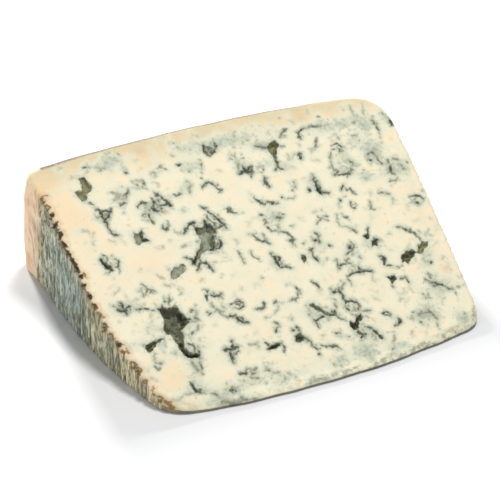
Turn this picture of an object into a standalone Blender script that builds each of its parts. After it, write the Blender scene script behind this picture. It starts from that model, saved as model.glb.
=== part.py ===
"""Blue cheese wedge: one sector of a small, tall wheel, lying on a cut face.

The wheel's own axis runs along X beside the blunt tip, +Y points from the tip to the
outer wall, and the lower cut face lies on z = 0.  A place on a cut face is given as
(across, up): across along the wheel's axis from the left flat, up from the tip axis
towards the outer wall.  Lengths are in metres unless a table says millimetres.
"""
import math
import random

import bmesh
import bpy
from mathutils import Matrix, Vector, noise

MM = 0.001

# The wheel and the sector cut from it
WHEEL_RADIUS = 0.101
WHEEL_HEIGHT = 0.1295
SECTOR_ANGLE = math.radians(25.8)
TIP_PLANE_HEIGHT = 0.0018      # height of the upper cut face above the wheel's axis

# The left flat: tapers in towards the tip, bows out and ends in a lip at the rim
LEFT_TIP_INSET = 0.0063
LEFT_BOW = 0.0076
LIP = 0.0079                   # at the lower cut face
LIP_GROWTH = 0.0026            # how much further out it stands at the upper one
LIP_REACH = 0.0130
LIP_WIDTH = 0.030              # how far the growth reaches along the outer wall

# The right flat, the outer wall and the nose
RIGHT_TIP_INSET = 0.0062
RIGHT_BOW = 0.0006
WALL_BOW = 0.0028
WALL_TAPER = 0.0030
NOSE_START = 0.0017
NOSE_BOW = 0.0057
NOSE_THICKNESS = 0.0017

# How far each corner of the plan is rounded
ROUND_BACK_LEFT = 0.0085
ROUND_BACK_RIGHT = 0.0160
ROUND_FRONT_RIGHT = 0.0071
ROUND_FRONT_LEFT = 0.0080

# How far the edges between a cut face and the rind are rounded
EDGE = 0.0014
EDGE_AT_LIP = 0.0030
EDGE_AT_NOSE = 0.0040
EDGE_BELOW = 0.0012
LIP_EDGE_REACH = 0.016

# Grooves that the draining mat left in both flats
GROOVE_PITCH = 0.0035
GROOVE_HALF_WIDTH = 0.0008
GROOVE_DEPTH = 0.0011
RIGHT_GROOVE_DEPTH = 0.0005
FIRST_GROOVE = 0.0133
GROOVES_UPRIGHT_TO = 0.045     # further back the grooves lean with the wall

# Unevenness of the rind
RELIEF = 0.0004
RELIEF_SIZE = 0.009

CORNER_STEPS = 5
WALL_STEPS = 24
NOSE_STEPS = 20
LEVELS = 4

# Crevices of the upper cut face, in millimetres and degrees on that face.
# name: (across, up, length, width, heading, depth, ((arm heading, arm reach), ...))
UPPER_CREVICES = {
    "two_lobe_upper": (10.5, 89.5, 7.0, 4.4, 107, 2.4, ()),
    "two_lobe_lower": (7.8, 85.5, 5.8, 4.4, 114, 3.2, ()),
    "y_crack": (12.4, 76.4, 4.8, 3.4, 100, 2.6, ((124, 5.0), (15, 4.0), (-96, 8.0))),
    "mottle_bar": (34.2, 76.8, 7.2, 1.5, 117, 1.8, ()),
    "mottle_blob": (30.8, 75.0, 4.4, 2.0, 77, 1.4, ((150, 3.0),)),
    "mottle_curl": (26.2, 77.2, 4.6, 1.2, 22, 1.2, ()),
    "angular": (20.4, 65.0, 5.6, 3.2, 82, 2.0, ((-36, 3.6), (70, 4.0))),
    "star_left": (5.2, 59.8, 3.0, 2.0, 105, 2.6, ((-60, 4.2), (140, 2.6))),
    "cleft_body": (42.4, 60.6, 10.0, 5.8, 82, 5.0, ((61, 7.0), (117, 6.6), (167, 7.2))),
    "cleft_lobe": (43.4, 55.2, 5.0, 3.6, 84, 5.4, ((-60, 3.6),)),
    "cleft_neck": (37.8, 53.6, 7.6, 2.2, 48, 4.0, ((177, 4.6), (-69, 6.6))),
    "oval": (27.8, 48.7, 7.0, 4.2, 33, 2.4, ()),
    "ring_mark": (58.2, 92.4, 4.6, 3.6, 165, 1.4, ()),
    "olive_triangle": (80.0, 86.0, 7.0, 4.4, 80, 3.4, ((152, 5.6), (-100, 7.6), (60, 4.6))),
    "m_mark": (67.1, 79.7, 4.4, 1.6, 117, 1.4, ((20, 3.2), (150, 3.0))),
    "slit_high": (72.5, 73.7, 4.2, 1.3, 94, 2.2, ()),
    "crescent": (89.4, 66.6, 5.4, 1.5, 92, 3.2, ((102, 5.6), (-41, 4.2))),
    "short_slit": (88.4, 80.5, 2.8, 1.3, 88, 1.8, ()),
    "small_triangle": (55.5, 67.1, 3.8, 3.2, 133, 1.8, ((-40, 3.0),)),
    "diagonal": (49.6, 65.4, 6.0, 1.6, 118, 2.4, ((120, 8.6),)),
    "dash": (62.4, 51.4, 4.6, 1.4, 160, 1.6, ()),
    "hook": (62.2, 42.6, 5.0, 1.5, 97, 2.6, ((100, 5.4), (-40, 5.6))),
    "tooth": (72.0, 42.0, 3.8, 2.4, 82, 2.4, ()),
    "crack_centre": (34.0, 38.2, 4.4, 1.8, 76, 3.0, ((-12, 5.2), (-70, 6.0))),
    "cluster_a": (42.7, 32.0, 4.4, 3.2, 163, 1.4, ()),
    "cluster_b": (40.9, 26.6, 5.2, 2.4, 135, 1.6, ()),
    "front_star": (33.6, 16.6, 6.4, 2.8, 71, 2.0, ((165, 4.0), (40, 3.6))),
    "front_hole": (57.8, 14.2, 4.2, 3.2, 56, 3.2, ((-58, 6.4),)),
    "front_fleck": (48.2, 13.7, 4.8, 2.0, 10, 2.2, ((150, 4.0),)),
    "long_slit": (68.1, 23.6, 5.8, 2.2, 135, 3.0, ((-47, 7.0), (-100, 5.4))),
    "vee_left": (77.9, 13.6, 4.2, 1.9, 94, 3.2, ()),
    "vee_right": (80.6, 14.3, 7.6, 1.8, 46, 3.6, ()),
    "star_a": (97.8, 44.2, 3.2, 2.6, 60, 2.8, ((80, 3.6),)),
    "star_b": (99.2, 40.4, 3.4, 3.0, 118, 3.2, ((30, 3.0), (140, 2.8))),
    "right_hole": (108.0, 32.2, 5.4, 3.8, 20, 3.6, ((-80, 3.2),)),
    "right_lobe": (114.4, 34.2, 6.4, 3.0, 24, 2.6, ((116, 6.4),)),
    "star_c": (98.8, 26.2, 4.0, 2.8, 164, 3.0, ((-85, 4.2), (-2, 4.0))),
    "comma": (99.0, 33.7, 3.8, 1.4, 99, 1.6, ()),
    "big_hole": (19.8, 33.0, 9.6, 8.2, 102, 6.0, ((112, 7.2), (-26, 6.4), (-150, 5.4))),
    "big_tail": (17.6, 24.2, 8.4, 2.6, 94, 4.6, ((-57, 7.6),)),
    "dark_hole": (8.6, 25.6, 4.8, 3.2, 28, 4.0, ((18, 5.4),)),
    "left_fleck": (4.8, 42.0, 4.6, 2.4, 150, 2.2, ((-10, 4.6),)),
    "front_slot": (16.6, 7.6, 5.4, 1.9, 109, 1.2, ()),
}

# Shallower crevices of the lower cut face, which lies hidden, in the same terms
LOWER_CREVICES = {
    "under_hole": (34.0, 62.0, 8.0, 5.6, 40, 3.6, ((120, 6.4),)),
    "under_cleft": (78.0, 40.0, 9.0, 4.0, 110, 3.2, ((10, 5.6),)),
    "under_slit": (58.0, 82.0, 7.0, 2.0, 160, 2.2, ()),
    "under_star": (96.0, 72.0, 4.6, 3.4, 15, 2.4, ((80, 4.6),)),
    "under_fleck": (24.0, 28.0, 5.0, 3.2, 60, 2.0, ()),
    "under_spot": (104.0, 22.0, 4.6, 3.0, 130, 1.8, ()),
}

MOUTH_POINTS = 10
MOUTH_JITTER = 0.16
ARM_HALF_WIDTH = 0.55 * MM
PROUD = 1.0 * MM               # how far a cutter stands out of the face
# Each ring of a cutter: (share of the depth, size of the body, reach of the arms)
CUTTER_RINGS = ((0.0, 1.0, 1.0), (0.55, 0.84, 0.6), (1.0, 0.46, 0.22))

WELD_DISTANCE = 0.005 * MM

PASTE_COLOUR = (0.90, 0.81, 0.61, 1.0)
PASTE_ROUGHNESS = 0.55


def smoothstep(low, high, value):
    """0 below low, 1 above high, smooth in between."""
    share = min(1.0, max(0.0, (value - low) / (high - low)))
    return share * share * (3.0 - 2.0 * share)


def bow(share):
    """Shallow parabola: 0 at both ends, 1 in the middle."""
    return 4.0 * share * (1.0 - share)


# ---------------------------------------------------------------- plan of the wheel

def left_flat(up):
    """Across-coordinate of the wheel's left flat at a distance from the axis."""
    share = up / WHEEL_RADIUS
    lip = LIP * math.exp(-(WHEEL_RADIUS - up) / LIP_REACH)
    return LEFT_TIP_INSET * (1.0 - share) - LEFT_BOW * bow(share) - lip


def lip_growth(place):
    """How much further out a place near the lip stands on the upper cut face."""
    near_rim = math.exp(-(WHEEL_RADIUS - place.y) / LIP_REACH)
    near_lip = max(0.0, 1.0 - max(0.0, place.x) / LIP_WIDTH)
    return LIP_GROWTH * near_rim * near_lip


def right_flat(up):
    """Across-coordinate of the wheel's right flat at a distance from the axis."""
    share = up / WHEEL_RADIUS
    return WHEEL_HEIGHT - RIGHT_TIP_INSET * (1.0 - share) + RIGHT_BOW * bow(share)


def outer_wall(across):
    """Distance of the outer wall from the wheel's axis."""
    share = max(0.0, across) / WHEEL_HEIGHT
    return WHEEL_RADIUS - WALL_TAPER * share + WALL_BOW * bow(share)


def nose(across):
    """Distance of the blunt tip from the wheel's axis; negative where it passes it."""
    share = (across - LEFT_TIP_INSET) / (WHEEL_HEIGHT - LEFT_TIP_INSET - RIGHT_TIP_INSET)
    return NOSE_START - NOSE_BOW * bow(share)


def rounded_corner(start, corner, end):
    """Points strictly between start and end on a curve pulled towards the corner."""
    points = []
    for step in range(1, CORNER_STEPS):
        share = step / CORNER_STEPS
        first = start.lerp(corner, share)
        second = corner.lerp(end, share)
        points.append(first.lerp(second, share))
    return points


def groove_stations(low, high, deepest, seed):
    """(up, groove depth) along a flat: three stations for each groove."""
    draw = random.Random(seed)
    stations = [(low, 0.0)]
    centre = FIRST_GROOVE
    while centre + GROOVE_PITCH < high:
        depth = deepest * draw.uniform(0.6, 1.0)
        middle = centre + GROOVE_PITCH * draw.uniform(-0.07, 0.07)
        stations.append((middle - GROOVE_HALF_WIDTH, 0.0))
        stations.append((middle, depth))
        stations.append((middle + GROOVE_HALF_WIDTH, 0.0))
        centre += GROOVE_PITCH
    stations.append((high, 0.0))
    return stations


def plan_columns():
    """The closed plan, clockwise from the front left, as (point, flat, groove).

    flat is the function of the flat that the column stands on, or None elsewhere.
    """
    back_left = Vector((left_flat(WHEEL_RADIUS), WHEEL_RADIUS))
    back_right = Vector((WHEEL_HEIGHT, outer_wall(WHEEL_HEIGHT)))
    front_right = Vector((WHEEL_HEIGHT - RIGHT_TIP_INSET, NOSE_START))
    front_left = Vector((LEFT_TIP_INSET, NOSE_START))

    left_low = NOSE_START + ROUND_FRONT_LEFT
    left_high = WHEEL_RADIUS - ROUND_BACK_LEFT
    right_low = NOSE_START + ROUND_FRONT_RIGHT
    right_high = back_right.y - ROUND_BACK_RIGHT

    left_stations = groove_stations(left_low, left_high, GROOVE_DEPTH, "left flat")
    left = [(Vector((left_flat(up), up)), left_flat, groove)
            for up, groove in left_stations]
    right_stations = groove_stations(right_low, right_high, RIGHT_GROOVE_DEPTH, "right flat")
    right = [(Vector((right_flat(up), up)), right_flat, groove)
             for up, groove in reversed(right_stations)]

    wall_from = back_left.x + ROUND_BACK_LEFT
    wall_to = WHEEL_HEIGHT - ROUND_BACK_RIGHT
    wall = []
    for step in range(WALL_STEPS + 1):
        across = wall_from + (wall_to - wall_from) * step / WALL_STEPS
        wall.append((Vector((across, outer_wall(across))), None, 0.0))

    nose_from = front_right.x - ROUND_FRONT_RIGHT
    nose_to = front_left.x + ROUND_FRONT_LEFT
    tip = []
    for step in range(NOSE_STEPS + 1):
        across = nose_from + (nose_to - nose_from) * step / NOSE_STEPS
        tip.append((Vector((across, nose(across))), None, 0.0))

    columns = []
    sides = (left, wall, right, tip)
    corners = (back_left, back_right, front_right, front_left)
    for index, side in enumerate(sides):
        following = sides[(index + 1) % len(sides)]
        columns.extend(side)
        bend = rounded_corner(side[-1][0], corners[index], following[0][0])
        columns.extend((point, None, 0.0) for point in bend)
    return columns


# ------------------------------------------------------------- surface of the sector

def plane_height(up):
    """Height of the upper cut face at a distance up that face."""
    return TIP_PLANE_HEIGHT + up * math.sin(SECTOR_ANGLE)


def top_height(up):
    """Height of the rind's upper end, never thinner than the blunt nose."""
    return max(plane_height(up), NOSE_THICKNESS)


def lean(up):
    """How upright a groove stands: 1 upright, 0 following the turn of the wheel."""
    return 1.0 - smoothstep(GROOVES_UPRIGHT_TO, WHEEL_RADIUS - ROUND_BACK_LEFT, up)


class Column:
    """One line of the rind, from the lower cut face to the upper one."""

    def __init__(self, point, flat, groove, outward):
        self.point = point
        self.flat = flat
        self.groove = groove
        self.outward = outward
        at_lip = math.exp(-(point - Vector((left_flat(WHEEL_RADIUS), WHEEL_RADIUS))).length
                          / LIP_EDGE_REACH)
        at_nose = 1.0 - smoothstep(0.002, 0.012, point.y)
        self.edge = EDGE + (EDGE_AT_LIP - EDGE) * at_lip + (EDGE_AT_NOSE - EDGE) * at_nose
        self.height = top_height(self.plan(1.0).y)

    def plan(self, turn):
        """Place on the wheel's plan at a share of the sector's angle."""
        place = self.point
        if self.flat is not None:
            upright = 1.0 / math.cos(SECTOR_ANGLE * turn) - 1.0
            up = place.y * (1.0 + upright * lean(place.y))
            place = Vector((self.flat(up), up))
        return place - Vector((lip_growth(place) * turn, 0.0))

    def placed(self, turn, inset=0.0):
        """Plan place at a share of the angle, moved in by the groove, relief and inset."""
        plan = self.plan(turn)
        angle = SECTOR_ANGLE * turn
        place = Vector((plan.x, plan.y * math.cos(angle), plan.y * math.sin(angle)))
        rise = RELIEF * noise.noise(place / RELIEF_SIZE)
        return plan + self.outward * (rise - self.groove - inset)

    def at(self, turn, inset=0.0):
        """Point of the rind at a share of the sector's angle."""
        plan = self.placed(turn, inset)
        angle = SECTOR_ANGLE * turn
        height = self.height * math.sin(angle) / math.sin(SECTOR_ANGLE)
        return Vector((plan.x, plan.y * math.cos(angle), height))

    def on_upper_face(self, inset):
        """Point of the upper cut face at a distance in from the rind."""
        plan = self.placed(1.0, inset)
        return Vector((plan.x, plan.y * math.cos(SECTOR_ANGLE), plane_height(plan.y)))

    def line(self):
        """All points of this column, from the lower cut face to the upper one."""
        below = min(EDGE_BELOW, 0.3 * self.height)
        above = min(self.edge, 0.45 * self.height)
        first = below / self.height
        last = 1.0 - above / self.height
        foot = self.at(0.0, below)
        points = [foot]
        points.append(curve_middle(foot, self.at(0.0), self.at(first)))
        for step in range(LEVELS + 1):
            points.append(self.at(first + (last - first) * step / LEVELS))
        rim = self.on_upper_face(self.edge)
        points.append(curve_middle(points[-1], self.at(1.0), rim))
        points.append(rim)
        return points


def curve_middle(start, corner, end):
    """Middle of the rounded edge that runs from start to end past a corner."""
    return (start + corner * 2.0 + end) / 4.0


def make_columns():
    """Columns with their outward direction on the plan."""
    plan = plan_columns()
    columns = []
    for index, (point, flat, groove) in enumerate(plan):
        before = plan[index - 1][0]
        after = plan[(index + 1) % len(plan)][0]
        along = (after - before).normalized()
        outward = Vector((-along.y, along.x))
        columns.append(Column(point, flat, groove, outward))
    return columns


def wedge_mesh():
    """Closed mesh of the sector: rings of the rind, closed by the two cut faces."""
    shell = bmesh.new()
    lines = [[shell.verts.new(point) for point in column.line()]
             for column in make_columns()]
    rings = list(zip(*lines))
    for lower, upper in zip(rings, rings[1:]):
        for index in range(len(lower)):
            other = index - 1
            shell.faces.new((lower[index], lower[other], upper[other], upper[index]))
    shell.faces.new(rings[0])
    shell.faces.new(tuple(reversed(rings[-1])))
    bmesh.ops.recalc_face_normals(shell, faces=shell.faces)
    bmesh.ops.triangulate(shell, faces=shell.faces)
    mesh = bpy.data.meshes.new("cheese_wedge")
    shell.to_mesh(mesh)
    shell.free()
    return mesh


# -------------------------------------------------------------------- crevices

def upper_face_frame():
    """Frame of the upper cut face: across, up the slope, out of the cheese."""
    turned = Matrix.Rotation(SECTOR_ANGLE, 4, "X")
    return Matrix.Translation((0.0, 0.0, TIP_PLANE_HEIGHT)) @ turned


def lower_face_frame():
    """Frame of the lower cut face; across runs the other way, so out is down."""
    return Matrix.Diagonal((-1.0, 1.0, -1.0, 1.0))


def mouth_spokes(length, width, heading, arms, draw):
    """Mouth of a crevice as (angle, body radius, arm reach), in order of angle."""
    half_length = 0.5 * length * MM
    half_width = 0.5 * width * MM

    def ellipse(angle):
        turned = angle - math.radians(heading)
        along = math.cos(turned) / half_length
        beside = math.sin(turned) / half_width
        return 1.0 / math.hypot(along, beside)

    spokes = []
    taken = []
    for arm_heading, reach in arms:
        angle = math.radians(arm_heading) % math.tau
        body = ellipse(angle)
        spread = math.atan(ARM_HALF_WIDTH / body)
        taken.append((angle, spread))
        spokes.append(((angle - spread) % math.tau, body, 0.0))
        spokes.append((angle, body, reach * MM))
        spokes.append(((angle + spread) % math.tau, body, 0.0))
    for step in range(MOUTH_POINTS):
        angle = math.tau * (step + draw.uniform(-0.2, 0.2)) / MOUTH_POINTS % math.tau
        clear = all(abs((angle - arm + math.pi) % math.tau - math.pi) > spread * 1.5
                    for arm, spread in taken)
        if clear:
            size = 1.0 + draw.uniform(-MOUTH_JITTER, MOUTH_JITTER)
            spokes.append((angle, ellipse(angle) * size, 0.0))
    return sorted(spokes)


def crevice_cutter(name, crevice, frame, sign):
    """Closed pit with a jagged mouth, narrowing to its bottom, placed on a cut face."""
    across, up, length, width, heading, depth, arms = crevice
    draw = random.Random(name)
    spokes = mouth_spokes(length, width, heading, arms, draw)
    levels = [(-PROUD / (depth * MM), 1.0, 1.0), *CUTTER_RINGS]
    shell = bmesh.new()
    rings = []
    for share, body_size, arm_size in levels:
        ring = []
        for angle, body, reach in spokes:
            radius = max(body * body_size, reach * arm_size)
            place = Vector((sign * across * MM + radius * math.cos(angle),
                            up * MM + radius * math.sin(angle),
                            -share * depth * MM))
            ring.append(shell.verts.new(place))
        rings.append(ring)
    for upper, lower in zip(rings, rings[1:]):
        for index in range(len(upper)):
            other = index - 1
            shell.faces.new((upper[other], lower[other], lower[index]))
            shell.faces.new((upper[other], lower[index], upper[index]))
    shell.faces.new(rings[0])
    shell.faces.new(tuple(reversed(rings[-1])))
    bmesh.ops.recalc_face_normals(shell, faces=shell.faces)
    shell.transform(frame)
    mesh = bpy.data.meshes.new(name)
    shell.to_mesh(mesh)
    shell.free()
    cutter = bpy.data.objects.new(name, mesh)
    cutter.hide_render = True
    cutter.display_type = "WIRE"
    return cutter


def make_cutters():
    """Collection of every crevice's cutter."""
    cutters = bpy.data.collections.new("crevice_cutters")
    bpy.context.scene.collection.children.link(cutters)
    for name, crevice in UPPER_CREVICES.items():
        cutters.objects.link(crevice_cutter(name, crevice, upper_face_frame(), 1.0))
    for name, crevice in LOWER_CREVICES.items():
        cutters.objects.link(crevice_cutter(name, crevice, lower_face_frame(), -1.0))
    return cutters


def weld(mesh):
    """Split faces into triangles, merge almost equal points and drop slivers."""
    shell = bmesh.new()
    shell.from_mesh(mesh)
    bmesh.ops.triangulate(shell, faces=shell.faces)
    bmesh.ops.remove_doubles(shell, verts=shell.verts, dist=WELD_DISTANCE)
    bmesh.ops.dissolve_degenerate(shell, edges=shell.edges, dist=WELD_DISTANCE)
    shell.to_mesh(mesh)
    shell.free()


def cut_crevices(wedge):
    """Cut all crevices into the wedge and keep only the result."""
    cutters = make_cutters()
    cut = wedge.modifiers.new("crevices", "BOOLEAN")
    cut.operation = "DIFFERENCE"
    cut.operand_type = "COLLECTION"
    cut.collection = cutters
    bpy.context.view_layer.update()
    evaluated = wedge.evaluated_get(bpy.context.evaluated_depsgraph_get())
    carved = bpy.data.meshes.new_from_object(evaluated)
    weld(carved)
    wedge.modifiers.clear()
    wedge.data = carved
    for cutter in list(cutters.objects):
        bpy.data.objects.remove(cutter)
    bpy.data.collections.remove(cutters)


# ------------------------------------------------------------------ the object

def paste_material():
    """Matte cream paste of the cheese."""
    material = bpy.data.materials.new("blue_cheese")
    material.use_nodes = True
    shader = material.node_tree.nodes["Principled BSDF"]
    shader.inputs["Base Color"].default_value = PASTE_COLOUR
    shader.inputs["Roughness"].default_value = PASTE_ROUGHNESS
    shader.inputs["Metallic"].default_value = 0.0
    return material


def centre_on_floor(wedge):
    """Put the middle of the wedge's footprint at the origin."""
    corners = [vertex.co for vertex in wedge.data.vertices]
    for axis in (0, 1):
        low = min(corner[axis] for corner in corners)
        high = max(corner[axis] for corner in corners)
        wedge.location[axis] = -0.5 * (low + high)


def make_wedge():
    """The whole cheese wedge, one solid."""
    wedge = bpy.data.objects.new("cheese_wedge", wedge_mesh())
    bpy.context.scene.collection.objects.link(wedge)
    cut_crevices(wedge)
    wedge.data.materials.clear()
    wedge.data.materials.append(paste_material())
    centre_on_floor(wedge)


for old in list(bpy.data.objects):
    bpy.data.objects.remove(old)
make_wedge()
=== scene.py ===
"""Looks of the blue cheese wedge: veined and pitted cut faces, grooved mouldy rind.

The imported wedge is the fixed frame.  One dense piece replaces it: its rind follows the
same plan as the solid, and its cut faces carry the veins and pits that the photo shows.
All lengths below are in millimetres unless a name says otherwise, on the wheel's own
axes: across along its axis, up away from it.  Places read from the photo are in pixels
of its 500 by 500 frame.
"""

import math
import random

import bpy
import numpy as np
from mathutils import Matrix, Vector, noise
from mathutils.geometry import delaunay_2d_cdt


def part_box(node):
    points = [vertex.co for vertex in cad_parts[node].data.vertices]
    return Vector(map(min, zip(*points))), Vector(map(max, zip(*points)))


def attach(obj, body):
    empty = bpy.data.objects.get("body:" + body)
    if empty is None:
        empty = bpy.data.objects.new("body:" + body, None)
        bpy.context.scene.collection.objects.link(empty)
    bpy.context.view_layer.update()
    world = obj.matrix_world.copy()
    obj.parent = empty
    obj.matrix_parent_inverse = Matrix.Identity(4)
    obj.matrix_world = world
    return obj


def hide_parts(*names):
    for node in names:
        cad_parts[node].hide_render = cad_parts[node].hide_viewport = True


MM = 0.001

# Where the middle of the wedge's footprint lies, seen from the wheel's axis at its left end
FOOTPRINT_MIDDLE = np.array((60.6131, 49.3215, 0.0))

# The wheel, the sector and its plan, as in the solid
RADIUS = 101.0
WIDTH = 129.5
ANGLE = math.radians(25.8)
TIP_PLANE = 1.8                # height of the upper cut face above the wheel's axis
LEFT_TIP_INSET = 6.3
LEFT_BOW = 7.6
LIP = 7.9                      # how far the rim of the left flat stands out
LIP_GROWTH = 2.6               # and how much further at the upper cut face
LIP_REACH = 13.0
LIP_WIDTH = 30.0
RIGHT_TIP_INSET = 6.2
RIGHT_BOW = 0.6
WALL_BOW = 2.8
WALL_TAPER = 3.0
NOSE_START = 1.7
NOSE_BOW = 5.7
NOSE_THICKNESS = 1.7
ROUND_BACK_LEFT = 8.5
ROUND_BACK_RIGHT = 16.0
ROUND_FRONT_RIGHT = 7.1
ROUND_FRONT_LEFT = 8.0

# Its rounded edges: size along the sides, at the lip, at the nose and below
EDGE = 1.4
EDGE_AT_LIP = 3.0
EDGE_AT_NOSE = 4.0
EDGE_BELOW = 1.2
LIP_EDGE_REACH = 16.0
NOSE_EDGE_FULL = 2.0           # up to here the edge has the nose's size,
NOSE_EDGE_END = 12.0           # and from here on that of the sides
MOST_ABOVE = 0.45              # most of the side's height that the upper edge takes up
MOST_BELOW = 0.3               # and that the lower edge does

# Its grooves, a little wider than in the solid, and the shallow relief of the rind
GROOVE_PITCH = 3.5
GROOVE_HALF_WIDTH = 0.9
GROOVE_DEPTH = 1.1
RIGHT_GROOVE_DEPTH = 0.5
FIRST_GROOVE = 13.3
GROOVES_UPRIGHT_TO = 45.0
RELIEF = 0.4
RELIEF_SIZE = 9.0

# The camera that took the photo, in the same axes
FOCAL_PIXELS = 2000.0
FRAME_PIXELS = 500.0
SENSOR = 36.0
AZIMUTH = math.radians(-27.96)
ELEVATION = math.radians(35.21)
ROLL = math.radians(2.06)
DISTANCE = 637.53
AIM = (29.71, 56.16)

# Spacing of the mesh's points
LEFT_STEP = 0.5
NOSE_STEP = 0.5
CORNER_STEP = 0.62
HIDDEN_STEP = 1.15
FACE_STEP = 0.66
VEIN_STEP = 0.32
UNDER_STEP = 2.0
UNDER_FINE_STEP = 0.5
VEIN_MARGIN = 0.6              # how far around a vein the fine spacing reaches above,
UNDER_MARGIN = 0.5             # and below,
EDGE_MARGIN = 3.0              # and how far in from the left rim, where the grooves bite
CORNER_COLUMNS = {"back left": 26, "back right": 28, "front right": 20, "front left": 22}

# Fractal noise: how it falls off and gets finer from one layer to the next, and a seed's shift
NOISE_FALL = 0.9
NOISE_FINER = 2.0
SEED_SHIFT = (17.3, 5.1, 29.7)


def smoothstep(low, high, value):
    """0 below low, 1 above high, smooth in between."""
    share = np.clip((value - low) / (high - low), 0.0, 1.0)
    return share * share * (3.0 - 2.0 * share)


def bow(share):
    """Shallow parabola: 0 at both ends, 1 in the middle."""
    return 4.0 * share * (1.0 - share)


def pulled(start, corner, end, share):
    """Place at a share of the curve from start to end that is pulled towards the corner."""
    return start * (1 - share) ** 2 + corner * 2 * share * (1 - share) + end * share ** 2


def ripple(points, size, depth=3, seed=0.0):
    """Fractal noise of about -1 to 1 at each point, with details of that size."""
    offset = Vector([seed * shift for shift in SEED_SHIFT])
    places = [Vector(point) + offset for point in points / size]
    return np.array([noise.fractal(place, NOISE_FALL, NOISE_FINER, depth) for place in places])


# ------------------------------------------------------------------ the photo's camera

CUT_FACE_NORMAL = np.array((0.0, -math.sin(ANGLE), math.cos(ANGLE)))


def camera_axes():
    """The photo camera's place and its right, up and back directions."""
    back = np.array((math.sin(AZIMUTH) * math.cos(ELEVATION),
                     -math.cos(AZIMUTH) * math.cos(ELEVATION), math.sin(ELEVATION)))
    level = np.array((math.cos(AZIMUTH), math.sin(AZIMUTH), 0.0))
    upright = np.cross(back, level)
    right = level * math.cos(ROLL) + upright * math.sin(ROLL)
    up = upright * math.cos(ROLL) - level * math.sin(ROLL)
    place = right * AIM[0] + up * AIM[1] + back * DISTANCE
    return place, right, up, back


def pixels_of(points):
    """Where the photo's camera sees points, in its pixels."""
    place, right, up, back = camera_axes()
    seen = points - place
    scale = FOCAL_PIXELS / -(seen @ back)
    return np.stack([seen @ right * scale, -(seen @ up) * scale], axis=1) + FRAME_PIXELS / 2


def on_cut_face(pixels):
    """Places (across, up) on the upper cut face that photo pixels show."""
    place, right, up, back = camera_axes()
    pixels = np.asarray(pixels, float) - FRAME_PIXELS / 2
    rays = (right * pixels[:, :1] - up * pixels[:, 1:]) / FOCAL_PIXELS - back
    height = (np.array((0.0, 0.0, TIP_PLANE)) - place) @ CUT_FACE_NORMAL
    hits = place + rays * (height / (rays @ CUT_FACE_NORMAL))[:, None]
    return np.stack([hits[:, 0], hits[:, 1] / math.cos(ANGLE)], axis=1)


def shown_at(x, y):
    """Place on the upper cut face that one photo pixel shows."""
    return on_cut_face([(x, y)])[0]


# ------------------------------------------------------------------ what the photo shows

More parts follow.
